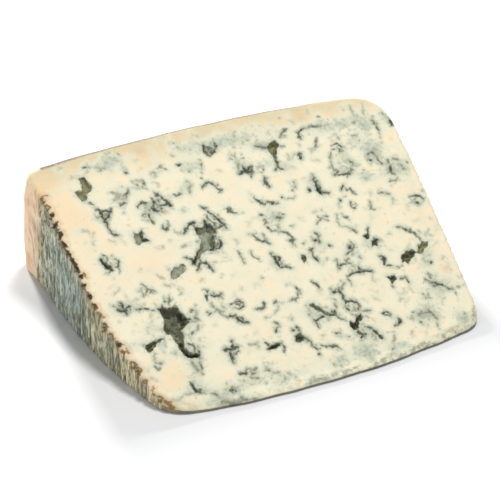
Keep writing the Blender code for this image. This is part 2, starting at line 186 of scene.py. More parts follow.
# Veins of the upper cut face.  name: (width in pixels, darkness, pixels along it)
VEINS = {
    "left_tick": (1.4, 0.65, ((83, 167.5), (86, 166.3), (89, 166.5))),
    "left_dash": (1.8, 0.35, ((95, 166.5), (101, 168.5), (107, 168))),
    "top_tick": (1.3, 0.45, ((106, 154.5), (109, 152.5))),
    "below_lobes": (2.2, 0.65, ((90, 203), (92.5, 204))),
    "dot_high": (1.8, 0.6, ((125.5, 172), (127, 172.5))),
    "box_top": (1.2, 0.35, ((131, 182), (137, 180.5), (143, 181))),
    "box_right": (1.5, 0.6, ((143, 180.5), (144, 185), (143.5, 188))),
    "box_base": (1.1, 0.3, ((131, 187.5), (142, 188))),
    "box_dot": (1.6, 0.55, ((136.8, 184.6), (137.6, 185.2))),
    "haze_edge": (1.4, 0.6, ((128.5, 188), (127, 193), (124, 195.5))),
    "haze_mark_a": (1.4, 0.45, ((112, 192), (118, 194), (121, 193.5))),
    "haze_mark_b": (1.2, 0.4, ((113, 203), (117, 198), (116, 195))),
    "haze_mark_c": (1.8, 0.6, ((121, 205), (126, 202.5))),
    "haze_mark_d": (1.3, 0.4, ((118, 197), (123, 199), (126, 197))),
    "six_ring": (1.2, 0.45, (
        (151, 173), (154, 171.8), (156, 174.5), (153.5, 177.5), (151, 175), (151, 173))),
    "broken_dash": (1.5, 0.55, ((157.5, 168.5), (161, 165.7), (163, 168), (167, 168.8))),
    "oval_dot": (2.6, 0.75, ((177.5, 164.5), (181, 165.2))),
    "three_dots_a": (1.9, 0.55, ((201.5, 163), (201.8, 166.5))),
    "three_dots_b": (1.6, 0.5, ((201.5, 171.5), (202, 173))),
    "three_dots_c": (1.3, 0.45, ((201, 177), (201.2, 178.5))),
    "u_ring_left": (2.4, 0.8, ((203, 145), (203.5, 149), (206, 152.5), (209.5, 154.8))),
    "u_ring_right": (1.9, 0.75, ((209.5, 154.8), (212, 152.5), (215, 150), (217, 144.5))),
    "u_ring_heart": (1.6, 0.45, ((208, 147), (210.5, 150), (213, 148.5))),
    "mottle_bar": (2.0, 0.8, ((156.7, 192.6), (161, 196.5), (165.5, 200))),
    "mottle_bar_end": (3.0, 0.85, ((165.5, 200), (168.5, 203), (171, 206.3))),
    "mottle_left": (1.9, 0.7, ((137.5, 207.5), (140, 204), (142.5, 202.4), (147, 202.2))),
    "mottle_heart_a": (2.4, 0.75, ((153.5, 200), (154.3, 204), (153, 208), (158, 211.5))),
    "mottle_heart_b": (1.9, 0.7, ((155, 203), (160, 204.7), (166, 205))),
    "mottle_heart_c": (1.6, 0.6, ((157, 206.5), (161, 208.5), (163, 211))),
    "mottle_heart_d": (1.5, 0.55, ((158, 199), (159.5, 203))),
    "mottle_low_a": (1.9, 0.65, ((148.7, 214), (150, 218), (153.5, 223.3))),
    "mottle_low_b": (1.5, 0.5, ((142.3, 215.5), (145.5, 213.8))),
    "mottle_low_c": (1.4, 0.4, ((143, 219), (147, 221), (149, 219))),
    "mottle_low_d": (1.3, 0.45, ((145.5, 205), (147, 209), (150, 211))),
    "curled_hook": (1.4, 0.65, (
        (167.2, 221.5), (168.7, 225.5), (165.7, 229.8), (162.8, 228), (163.5, 225))),
    "angular_arm": (2.2, 0.8, ((143, 238.5), (149.3, 240.8))),
    "angular_rib": (1.4, 0.75, ((141.5, 229.5), (141, 235), (143.5, 239))),
    "y_arm_left": (1.4, 0.75, ((94.5, 208.3), (98, 209.3), (101, 211.3))),
    "y_top": (1.7, 0.85, ((101, 211.3), (105, 211), (110.8, 211.3))),
    "y_left": (2.2, 0.9, ((101, 211.3), (102.5, 216), (105.3, 220))),
    "y_right": (2.0, 0.9, ((110.5, 211.3), (108.5, 216.5), (105.3, 220))),
    "y_stem": (1.9, 0.85, ((105.3, 220), (107, 224), (108.3, 228))),
    "y_tail": (1.4, 0.75, ((108.3, 228), (111, 232), (114, 235), (118, 235.3))),
    "y_spur": (1.2, 0.5, ((97, 218), (101.5, 216.5))),
    "star_left": (2.8, 1.0, ((100.9, 259), (104, 264), (109, 268))),
    "star_left_up": (1.2, 0.7, ((107.3, 256.5), (107, 261), (104.5, 264))),
    "star_left_down": (2.0, 0.9, ((109, 265), (111, 268.5), (112.5, 270.8))),
    "star_left_side": (1.0, 0.5, ((110, 262), (113, 264), (112, 267))),
    "star_far_side": (1.4, 0.7, ((118.2, 259.5), (118, 265), (119.8, 271.8))),
    "star_far_top": (1.2, 0.5, ((113, 258.5), (118.2, 259.5))),
    "star_far_base": (1.2, 0.35, ((105, 272.5), (109, 273))),
    "cleft_spike": (1.8, 0.75, ((204.6, 219.3), (206, 223), (209, 226))),
    "cleft_arm": (1.9, 0.8, ((184.4, 233.8), (187, 228), (190.2, 223.6), (194.5, 222.3))),
    "cleft_ring": (1.4, 0.7, ((215.7, 228.5), (219.5, 226.8), (223.7, 224.3))),
    "cleft_loop": (1.7, 0.75, ((219, 238), (221.3, 243), (220, 248), (215.5, 249.6))),
    "cleft_loop_in": (1.2, 0.6, ((215, 236), (218.5, 241), (217, 246))),
    # The next four are partly dark mould and partly painted shade on the cleft's right and lower walls
    "cleft_dark_a": (2.2, 0.7, ((208, 222.4), (211.4, 225.6), (214.6, 228.4), (215.4, 233))),
    "cleft_dark_b": (2.4, 0.65, ((213.6, 236), (212.6, 241), (215.4, 245.6), (213, 249.6))),
    "cleft_dark_c": (2.0, 0.6, ((212.4, 247), (207.4, 248.6), (203.4, 252))),
    "cleft_dark_d": (2.6, 0.95, ((198, 256), (195.4, 260), (192.6, 263.4))),
    "cleft_hook": (1.6, 0.7, ((190, 223), (193.4, 226.4), (197.4, 227.4), (198, 230))),
    "cleft_dot": (1.7, 0.6, ((219, 236.7), (219.6, 237.3))),
    "cleft_foot": (1.6, 0.8, ((185.4, 257.6), (190, 258.5), (195, 260))),
    "cleft_twig": (1.5, 0.75, ((199.7, 257), (200, 263), (198.1, 270.5))),
    "cleft_branch": (1.7, 0.8, ((200.5, 262.8), (207.7, 263.6), (210.5, 267), (213.4, 270.4))),
    "diagonal": (1.3, 0.7, ((200.3, 205.6), (206, 210), (212.5, 214.4))),
    "diagonal_end": (2.1, 0.85, ((212.5, 214.4), (218.5, 219.5), (225.2, 224.7))),
    "diagonal_side": (1.3, 0.7, ((206.5, 215), (211, 220.5), (216.5, 226))),
    "diagonal_cross": (1.2, 0.5, ((218, 214.5), (220.5, 218), (224, 221))),
    "triangle_tail": (1.3, 0.7, ((231, 212.5), (237.3, 212.2))),
    "short_tick": (2.0, 0.65, ((176, 196.3), (180.4, 193.8))),
    "grey_curl": (1.5, 0.5, ((188, 181), (191.5, 184), (189.5, 188), (190, 192.5))),
    "arc": (1.6, 0.65, ((202, 187), (205, 183.5), (209.3, 181.7), (214, 184))),
    "arc_end": (2.0, 0.65, ((214, 184), (218, 188.5), (222.5, 189.8))),
    "m_upright": (2.2, 0.4, ((234.5, 153.5), (236.8, 160), (238.5, 167), (240, 172))),
    "m_first": (2.2, 0.9, ((239.5, 173), (243.5, 171), (247, 170.5), (250, 166.3))),
    "m_second": (1.8, 0.9, ((242.5, 166), (246, 170.3), (252.5, 172))),
    "m_third": (1.5, 0.6, ((251.5, 165), (251.8, 171), (251.5, 177))),
    "tick_256": (1.5, 0.6, ((252, 234.3), (256.5, 237.5))),
    "stroke_241": (1.4, 0.5, ((238, 251), (241.5, 256), (244.6, 263.8))),
    "stroke_254": (1.5, 0.6, ((250.8, 252), (253.6, 256.6), (258.6, 258.6))),
    "high_right_a": (1.6, 0.4, ((350, 106), (352, 111.5), (355, 115.5))),
    "high_right_b": (1.4, 0.35, ((362.3, 104.3), (363.4, 110), (363.8, 114.5))),
    "high_right_c": (1.8, 0.6, ((372.3, 117.5), (374.5, 123.5), (378.5, 128.5))),
    "high_right_d": (1.5, 0.45, ((378.5, 128.5), (380.5, 136.5))),
    "grey_dot_279": (1.8, 0.35, ((279, 117.5), (280.3, 118.5))),
    "olive_line": (2.0, 0.5, ((300.5, 129.5), (308, 126.8), (318, 125.5), (328, 124.5))),
    "olive_line_down": (1.8, 0.65, ((301.5, 128.5), (298.5, 132.5), (299.5, 136.5))),
    "olive_line_tick": (1.5, 0.7, ((297.3, 136.8), (301.8, 136.3))),
    "grey_hook": (1.7, 0.6, ((279.3, 137), (282, 132.5), (287, 129.3))),
    "grey_hook_side": (1.3, 0.45, ((282, 137), (286, 135))),
    "olive_arm": (1.4, 0.75, ((255.5, 145.8), (262, 147), (269, 148))),
    "olive_right": (1.3, 0.5, ((278.5, 146.5), (284.5, 146.2))),
    "olive_stem": (1.6, 0.8, ((276.3, 160), (278, 166), (282.5, 168.8))),
    "olive_stem_left": (1.4, 0.7, ((274.3, 170.3), (277.5, 168.5))),
    "slit_300": (2.6, 0.95, ((299.6, 153), (300.8, 158))),
    "slit_300_haze": (1.5, 0.35, ((294.5, 153), (292.5, 159))),
    "upright_316": (1.6, 0.5, ((316.6, 137.5), (316, 143), (315.6, 149))),
    "cross_316": (1.3, 0.45, ((311.5, 149.3), (318.3, 145.8))),
    "knot_338_a": (1.6, 0.4, ((337, 135.5), (339.5, 140))),
    "knot_338_b": (1.6, 0.6, ((331.5, 145.5), (337, 142.8), (341.5, 147))),
    "knot_338_c": (1.5, 0.6, ((333.5, 149.5), (338, 147.5), (340.5, 151))),
    "loop_left": (1.5, 0.45, ((331, 152), (330.5, 158), (332, 164), (334, 170))),
    "loop_base": (1.5, 0.6, ((334, 170), (339, 169.5), (333.5, 175), (341, 174.6))),
    "loop_right": (1.7, 0.65, ((341, 174.6), (348, 173), (352.5, 169))),
    "loop_top": (1.6, 0.55, ((349.5, 160.5), (353.5, 163), (350.5, 168.5))),
    "dark_dot_370": (2.8, 0.95, ((370, 160), (370.8, 160.6))),
    "arch_370": (1.5, 0.6, (
        (367.6, 153.8), (372.5, 152.3), (375.8, 155.5), (378.7, 160.5), (382, 163.5))),
    "fork_390": (2.0, 0.65, ((388.3, 160), (390.7, 166), (391.3, 172.5))),
    "fork_390_arm": (1.4, 0.45, ((391, 160.5), (395, 158.3), (399.4, 160.2))),
    "fork_403": (1.5, 0.5, ((401, 164.5), (403, 168), (405.5, 169))),
    "dash_394": (1.7, 0.6, ((389.9, 181), (394, 180), (398.6, 178.5))),
    "dash_384": (1.5, 0.5, ((378.5, 192.3), (384, 192.2), (390, 193.7))),
    "right_arc": (1.6, 0.65, ((409.5, 196.3), (415, 194.8), (420, 196), (423.6, 198.6))),
    "right_arc_spot": (3.4, 0.8, ((416.9, 203), (418.3, 203.6))),
    "right_arc_side": (1.5, 0.5, ((411, 198.5), (414, 201.5))),
    "crescent_haze": (2.0, 0.5, ((312, 174.5), (314.2, 177.5), (315, 182.5))),
    "crescent_top": (1.7, 0.85, ((315.5, 180.5), (316.7, 185), (318.1, 188))),
    "crescent": (3.0, 1.0, ((317, 186.3), (318.7, 190), (321.8, 193.2))),
    "crescent_end": (1.7, 0.85, ((321.8, 193.2), (325, 192), (328.5, 192.6))),
    "crescent_spot": (3.2, 0.75, ((309, 189.3), (310.5, 190.5))),
    "slit_266": (2.0, 0.85, ((264.7, 177), (266, 182), (269.8, 186.6))),
    "curl_294": (1.6, 0.5, ((294.3, 181), (295.2, 185.5), (292.6, 190.6))),
    "mark_260": (1.9, 0.55, ((257.5, 168.3), (260.7, 166.8), (264, 169.3))),
    "mark_260_low": (1.4, 0.4, ((258.5, 171), (262, 171.8))),
    "wing_left": (1.6, 0.7, ((252, 195.5), (256, 199.3), (259, 200), (261, 203.3), (265.5, 203.3))),
    "wing_mid": (1.6, 0.65, ((263.9, 204.3), (268, 202), (271.9, 202.3), (278.5, 202.2))),
    "wing_dot": (2.5, 0.8, ((275.5, 202.8), (276.5, 202.8))),
    "wing_dot_high": (2.1, 0.6, ((282, 197.3), (282.8, 197.8))),
    "wing_dash": (1.4, 0.4, ((288, 198.5), (295, 197.3))),
    "roof_350": (1.5, 0.6, ((341.5, 190.5), (343.5, 185.8), (347, 189), (350.5, 188.6), (354.5, 193))),
    "dot_340": (2.1, 0.65, ((340, 199.8), (341, 200.3))),
    "line_340": (1.2, 0.35, ((339, 202), (339.8, 208))),
    "ring_353": (1.7, 0.6, ((351.5, 201.5), (351.3, 205.5), (354, 207.3), (356.5, 205.5))),
    "hook_372": (1.6, 0.55, ((369.5, 200.8), (371.8, 204.5), (370.5, 208.6), (376, 209))),
    "lace_dots_a": (2.0, 0.55, ((260.3, 214), (261.5, 214.6))),
    "lace_a": (1.4, 0.55, ((264, 219), (267, 221.5), (264.3, 224.3))),
    "lace_b": (1.6, 0.55, ((275.5, 217.3), (280.8, 217.6), (279.7, 221))),
    "lace_c": (1.8, 0.65, ((267.5, 226.5), (271.5, 230.2), (279, 230.4))),
    "lace_d": (1.6, 0.6, ((279, 230.4), (286.2, 231.8), (291, 235.9), (293.3, 239.3))),
    "lace_e": (1.7, 0.65, ((289, 240.3), (293, 240), (292.5, 245.5))),
    "lace_f": (1.4, 0.45, ((278, 224.5), (280.3, 231))),
    "knot_320_a": (1.6, 0.5, ((317.8, 216), (321.5, 217.5), (320, 221), (317, 224))),
    "knot_320_b": (1.6, 0.5, ((322.7, 215.3), (327.2, 216.3))),
    "knot_320_c": (1.4, 0.4, ((324.5, 219.5), (329, 220.3))),
    "tick_346": (1.8, 0.5, ((344, 216), (348.5, 217.4))),
    "long_345": (1.4, 0.45, ((337.3, 214), (337, 221), (340, 225.5), (347, 226.7), (353, 229.5))),
    "long_345_end": (2.6, 0.55, ((353, 229.5), (357.5, 231.8))),
    "star_a_arm": (1.3, 0.7, ((367.6, 232.5), (368.4, 227.5))),
    "star_b_arm": (1.4, 0.9, ((374, 241), (379, 239.3))),
    "thin_arc": (1.5, 0.75, ((397, 226.3), (403, 227.6), (409, 231), (413.8, 232))),
    "thin_arc_end": (1.4, 0.7, ((413.8, 232), (417, 235), (420.3, 239.5))),
    "thin_arc_dot": (2.2, 0.75, ((398.8, 226.6), (400, 226.7))),
    "lobe_spur": (1.4, 0.45, ((425, 234.5), (429.3, 229.5))),
    "blue_317": (1.7, 0.65, ((315, 232.5), (318.1, 235.5), (319.7, 243))),
    "blue_317_dot": (2.8, 0.8, ((314.5, 239.8), (316.5, 240.2))),
    "dot_304": (1.9, 0.6, ((303.5, 243), (304.3, 243.3))),
    "dot_329": (2.4, 0.65, ((328.5, 245), (330.5, 246))),
    "tri_268": (1.8, 0.7, ((257, 239.3), (263, 240.8), (271, 243))),
    "tri_268_up": (1.4, 0.5, ((263.5, 234.5), (265, 238), (267.5, 241.5))),
    "tick_253": (1.6, 0.5, ((252.3, 234.7), (253.5, 236))),
    "dot_350": (3.0, 0.95, ((349.6, 246.8), (350.4, 247.4))),
    "dot_350_arc": (1.5, 0.55, ((351.5, 242), (354.5, 245.5), (352.5, 250), (347, 254.2))),
    "comb_340": (1.6, 0.6, ((336.5, 258.8), (338, 263), (338.6, 267.3))),
    "comb_345": (1.5, 0.6, ((338.6, 265.5), (345, 262.8), (351.6, 263.8))),
    "comb_348": (1.4, 0.5, ((345.5, 262.5), (348.6, 258.5))),
    "hook_277": (1.7, 0.85, ((271, 253.2), (274, 256), (277.5, 261.4))),
    "hook_277_spot": (2.5, 1.0, ((277.3, 260.8), (278.6, 265.5))),
    "hook_277_loop": (1.3, 0.75, ((274.5, 255.5), (279.5, 258.5), (282, 263.5), (283.5, 266.3))),
    "hook_277_foot": (1.5, 0.8, ((279, 266.8), (285.5, 266.3), (292, 267))),
    "blue_314": (1.7, 0.7, ((311.3, 249.4), (313.3, 255.8), (318.3, 261))),
    "blue_314_top": (1.5, 0.55, ((308.5, 250.5), (313.5, 248.3))),
    "comma": (2.6, 0.8, ((379.3, 255.2), (382, 256.3), (384.3, 258.5), (384.5, 264))),
    "comma_tail": (1.5, 0.6, ((386.7, 264.8), (393, 265), (400.2, 267.8))),
    "brown_361": (2.6, 0.4, ((360, 256), (362, 257.5))),
    "dot_430": (2.6, 0.65, ((429.5, 261.5), (431.5, 262.5))),
    "olive_425": (1.6, 0.4, ((423, 259.2), (426, 256), (430, 255.3))),
    "dash_366": (2.0, 0.85, ((354.8, 272), (361.2, 271), (366, 271))),
    "dash_366_end": (1.4, 0.8, ((366, 271), (372.8, 270.2))),
    "dash_366_up": (1.6, 0.7, ((358, 265.8), (361.5, 271))),
    "dash_366_left": (1.5, 0.6, ((348.2, 276.7), (351.5, 273.3), (355.5, 272))),
    "star_c_arm": (1.6, 0.7, ((400.8, 278.4), (405.5, 277.3), (407.5, 280), (409.8, 283.3))),
    "star_c_dot": (1.9, 0.6, ((392.4, 285.5), (393.3, 286.6))),
    "slash_316": (1.6, 0.65, ((311.7, 281.3), (316, 283.5), (320, 288))),
    "slash_316_down": (1.3, 0.45, ((320, 288), (320.3, 292.8))),
    "net_a": (1.5, 0.7, ((330.9, 289.2), (334, 292.6), (336.5, 288.3))),
    "net_b": (1.4, 0.6, ((336, 289), (341.5, 288.8), (343.8, 282.8))),
    "net_c": (1.9, 0.85, ((338, 288.8), (341, 292.5), (343.8, 297), (346, 301.6))),
    "net_d": (1.5, 0.7, ((346, 301.6), (351.6, 300), (357, 302.3), (359.6, 306.5))),
    "net_e": (1.4, 0.6, ((359.6, 306.5), (358.5, 311))),
    "net_f": (1.3, 0.45, ((329.3, 297.2), (335.7, 299.8))),
    "net_g": (1.4, 0.5, ((348.2, 277), (350, 281), (352.6, 285.6))),
    "net_h": (1.5, 0.7, ((345.8, 301.8), (345.8, 306.5), (349, 311))),
    "net_i": (1.3, 0.6, ((351, 313.2), (357.4, 316))),
    "net_j": (1.2, 0.4, ((352.5, 303.5), (355.5, 308.5), (352, 311))),
    "vee_tail": (2.3, 0.85, ((359.2, 330.5), (361.5, 333), (363.8, 335.8))),
    "vee_side": (1.5, 0.55, ((362.5, 311), (370.8, 310.2))),
    "vee_left_side": (1.6, 0.6, ((364, 326.3), (369, 326.5), (374, 329.3))),
    "tail_378": (2.0, 0.75, ((374, 329.3), (376.5, 332), (379, 335.3))),
    "tail_378_end": (3.0, 0.85, ((379, 335.3), (382.5, 338))),
    "tail_378_low": (1.3, 0.5, ((371.8, 332.5), (377.3, 339.3))),
    "slit_branch": (2.1, 0.85, ((316.3, 321.5), (319.5, 317.8), (324.8, 316.2))),
    "slit_branch_down": (1.6, 0.7, ((316.3, 321.5), (318.7, 326.8))),
    "slit_end": (1.6, 0.85, ((330, 313.6), (336.5, 314.6))),
    "slit_up": (1.3, 0.55, ((336.3, 313.5), (336.8, 308.5), (335, 303.5))),
    "slit_on": (1.4, 0.5, ((336.3, 315), (341, 318.5), (346, 320))),
    "slit_low": (1.4, 0.5, ((334, 331.3), (337, 333.2), (341.5, 333))),
    "hole_spur_a": (1.4, 0.65, ((296.3, 326.8), (299.5, 329.5), (299.8, 333.5))),
    "hole_spur_b": (1.3, 0.55, ((292.5, 331.3), (294.5, 329.5))),
    "hole_tail": (1.7, 0.7, ((305, 337.8), (310, 340.5), (313.5, 346.5), (320, 348.6))),
    "hole_tail_dot": (2.8, 0.7, ((318.8, 353.3), (320, 354.5))),
    "brown_line": (1.8, 0.65, ((321.3, 344.6), (328, 346.2), (335.7, 345.7), (342.3, 349.2))),
    "fleck_body": (3.2, 0.95, ((268.5, 349), (272.5, 346.3), (279.3, 344.6))),
    "fleck_up": (1.5, 0.6, ((265.3, 341.8), (268, 343.3), (270, 347))),
    "fleck_right": (1.4, 0.6, ((281.5, 343.3), (284.8, 346.5), (284.3, 351.8))),
    "fleck_left": (1.7, 0.45, ((249.6, 344), (254, 344.3), (257.5, 345.6))),
    "dot_276": (2.9, 0.65, ((276, 330.3), (277.5, 331.3))),
    "dot_276_up": (1.6, 0.55, ((273.5, 321.8), (278.5, 324.3), (277.5, 329))),
    "blue_296": (1.9, 0.6, ((295.6, 286.5), (299.3, 290.5), (297.8, 294.5))),
    "blue_296_low": (1.8, 0.7, ((291, 300), (297.5, 298))),
    "curl_260": (1.7, 0.6, ((255, 308.3), (261, 309), (265, 306.5), (263.7, 302))),
    "curl_276": (1.9, 0.55, ((274.5, 303.5), (276.5, 301.3), (279.3, 302.8))),
    "ring_238": (1.7, 0.65, (
        (231, 305), (234.5, 302), (239, 300.4), (243, 303), (243.3, 306.3), (239, 308.6),
        (235, 307.3))),
    "ring_238_heart": (1.5, 0.65, ((236, 303.8), (240.5, 305.8))),
    "leaf_240": (2.0, 0.75, ((230.3, 316.3), (235, 315.3), (238.5, 319), (242.5, 321.8), (249, 322.5))),
    "leaf_240_top": (1.3, 0.65, ((236, 315.6), (241.5, 317), (243.8, 320.6))),
    "crack_arm": (1.7, 0.7, ((209.3, 294.6), (215.7, 296), (222.3, 293.4))),
    "crack_arm_low": (1.4, 0.55, ((215, 295.8), (221.5, 297.3))),
    "crack_up": (1.5, 0.7, ((208, 295), (207, 290.5), (206, 289))),
    "crack_drift": (2.2, 0.42, ((210.9, 302.2), (216, 308.5), (222, 313.5), (229, 318.3))),
    "crack_drift_side": (1.8, 0.4, ((214.5, 311), (219, 310), (223.5, 311.5))),
    "crack_drift_mark": (1.6, 0.6, ((209, 314.5), (211.5, 312.6))),
    "front_star_left": (1.8, 0.8, ((223.8, 350), (228, 348.8), (233, 349.3))),
    "front_star_up": (1.9, 0.8, ((231.6, 340.3), (232.5, 345), (233.2, 350))),
    "front_star_right": (1.6, 0.7, ((233.2, 350), (236.5, 346.5), (239, 346))),
    "front_star_side": (1.5, 0.7, ((239, 346), (238.3, 351), (235.3, 354.5))),
    "front_star_down": (1.9, 0.85, ((229.5, 352), (232, 355.5), (233.2, 360.8))),
    "front_star_heart": (2.6, 1.0, ((230.5, 352.8), (231.6, 354.8))),
    "blue_fleck": (3.4, 0.8, ((117.5, 309.3), (122, 310), (126.5, 308.8))),
    "blue_fleck_cross": (2.0, 0.85, ((121, 303.8), (124, 308.8), (127, 313.8))),
    "blue_fleck_right": (1.6, 0.7, ((126, 307), (131, 306.3))),
    "blue_fleck_arm": (1.1, 0.45, ((110.8, 304.6), (117.5, 307.5))),
    "twig_146": (1.5, 0.6, ((137, 308.8), (145.5, 308.4), (154.5, 310.3))),
    "twig_146_side": (1.3, 0.5, ((137, 308.8), (138.5, 311.5))),
    "twig_138": (1.4, 0.35, ((133.5, 300.5), (138.3, 298.8))),
    "sprig_a": (1.4, 0.6, ((143.7, 285), (146.5, 288.5), (154.6, 291.2))),
    "sprig_b": (1.4, 0.55, ((141.3, 289.2), (143.3, 296))),
    "sprig_c": (1.5, 0.55, ((147.5, 289.3), (145.8, 294.3))),
    "sprig_d": (1.4, 0.45, ((137.5, 291), (140.5, 292.3))),
    "sprig_e": (1.4, 0.5, ((151.5, 289.8), (149.3, 293.8))),
    "hole_left_edge": (2.4, 0.9, ((158, 308.8), (161.5, 309.3), (162.5, 313))),
    "hole_hair": (1.2, 0.5, ((169.3, 295.5), (169.6, 300), (168.3, 304.5))),
    "hole_hair_left": (1.3, 0.55, ((164, 297.5), (165.5, 302))),
    "hole_right_edge": (1.8, 0.9, ((178.5, 311.5), (183, 316.5), (190.5, 319.5))),
    "crumb_a": (1.5, 0.65, ((191.8, 310.2), (196.8, 310), (195.6, 314), (195.8, 318.3))),
    "crumb_b": (1.3, 0.5, ((190.5, 336), (193, 332.5), (198.3, 329.5), (198.6, 325))),
    "crumb_c": (1.7, 0.65, ((188.6, 343.3), (192.5, 344.5), (195, 348), (195.3, 352))),
    "crumb_d": (1.2, 0.4, ((190.5, 319.5), (195, 322), (200, 320.5))),
    "tail_edge": (1.8, 0.85, ((177.5, 336.5), (181, 341.5), (183.5, 347.5), (187, 352.8))),
    "tail_end": (2.3, 0.85, ((187, 353.8), (192, 355.3), (199, 354.6))),
    "tail_end_up": (1.3, 0.55, ((197.5, 349), (199.5, 354.3), (200.5, 359.5))),
    "tail_drift": (2.6, 0.42, ((190.5, 360), (195.5, 366.5), (201.5, 374))),
    "tail_drift_side": (1.5, 0.5, ((199.7, 361), (202, 367.5), (202.8, 374.5))),
    "hook_156": (1.8, 0.55, ((154, 356), (155, 361.3), (158.5, 363.6), (162.5, 362.6))),
    "hook_156_low": (2.0, 0.5, ((155, 366), (158, 369), (160.2, 367.4))),
    "small_cross": (2.0, 0.8, ((229.8, 389.8), (235, 389))),
    "small_cross_up": (1.6, 0.75, ((232, 386.8), (232.6, 392.5))),
    "letters_a": (2.2, 0.65, ((239.4, 373), (245.6, 373.6))),
    "letters_b": (1.5, 0.55, ((247.8, 367.6), (246.6, 371), (246, 374.5))),
    "letters_c": (1.5, 0.55, ((250.5, 368), (252, 373.3), (255.3, 372.6), (255.8, 367.3))),
    "letters_d": (1.4, 0.45, ((250.8, 371), (256, 370.3))),
    "letters_e": (2.0, 0.45, ((251.8, 377), (259.3, 378.6))),
    "mark_270": (1.9, 0.5, ((267, 367.6), (270.3, 371.3))),
    "mark_270_side": (1.5, 0.4, ((272, 372.4), (280, 373))),
    "tiny_ring": (1.5, 0.6, (
        (382, 313.3), (385, 310.6), (388.3, 311), (390.6, 314.3), (386.3, 315), (382, 313.3))),
    "bend_400": (2.0, 0.65, ((397.8, 317.5), (400.3, 320), (400, 323.3), (395.3, 325.5))),
    "sweep_a": (1.9, 0.6, ((425.7, 278.3), (431.3, 281.6), (438, 283.2), (445.7, 286))),
    "sweep_b": (1.8, 0.55, ((445.7, 286), (449, 288.5), (452.5, 289))),
    "sweep_c": (1.5, 0.5, ((428.3, 273), (430.5, 277), (431, 280.5))),
    "sweep_dot": (2.4, 0.45, ((457.8, 286), (459, 286.6))),
    "drift_a": (2.2, 0.45, ((417, 315), (423, 312.3), (430, 312.5))),
    "drift_b": (1.6, 0.5, ((428, 309.5), (433, 313.3), (438.3, 318.8))),
    "drift_c": (2.6, 0.5, ((422.8, 293.8), (424.3, 294.8))),
    "drift_d": (1.5, 0.45, ((437.6, 324), (439.4, 329.6))),
    "dark_nick": (3.0, 0.75, ((389, 119), (391.8, 123.8))),
    "dark_nick_side": (2.2, 0.55, ((382.3, 112.5), (383.5, 113.8))),
    "front_line": (2.4, 0.8, ((309.5, 384), (312.5, 381.3), (321.3, 379), (329, 378.6))),
    "front_line_far": (2.0, 0.6, ((334.3, 374.8), (337.3, 373.2))),
    "front_dot_a": (2.8, 0.6, ((411, 350), (412.8, 349.3))),
    "front_dot_b": (2.4, 0.6, ((389.6, 356), (392.6, 355))),
    "front_dot_c": (2.2, 0.55, ((396, 356), (398.3, 354.8))),
    "front_dot_d": (2.2, 0.45, ((425.8, 343.8), (427.5, 343))),
    "chunk_edge": (1.6, 0.4, ((180, 398), (188, 394.4), (200, 392.4), (213, 393.8))),
    "lip_line": (2.0, 0.5, ((213, 393.8), (217, 395), (221.5, 397.6))),
    "lip_dark_a": (3.6, 0.9, ((223, 401.3), (231, 403.6), (238, 401.6))),
    "lip_dark_b": (2.8, 0.85, ((238, 401.6), (244, 399.6), (248.5, 399.8))),
    "lip_dark_c": (2.0, 0.55, ((251, 399), (257, 397.6))),
}
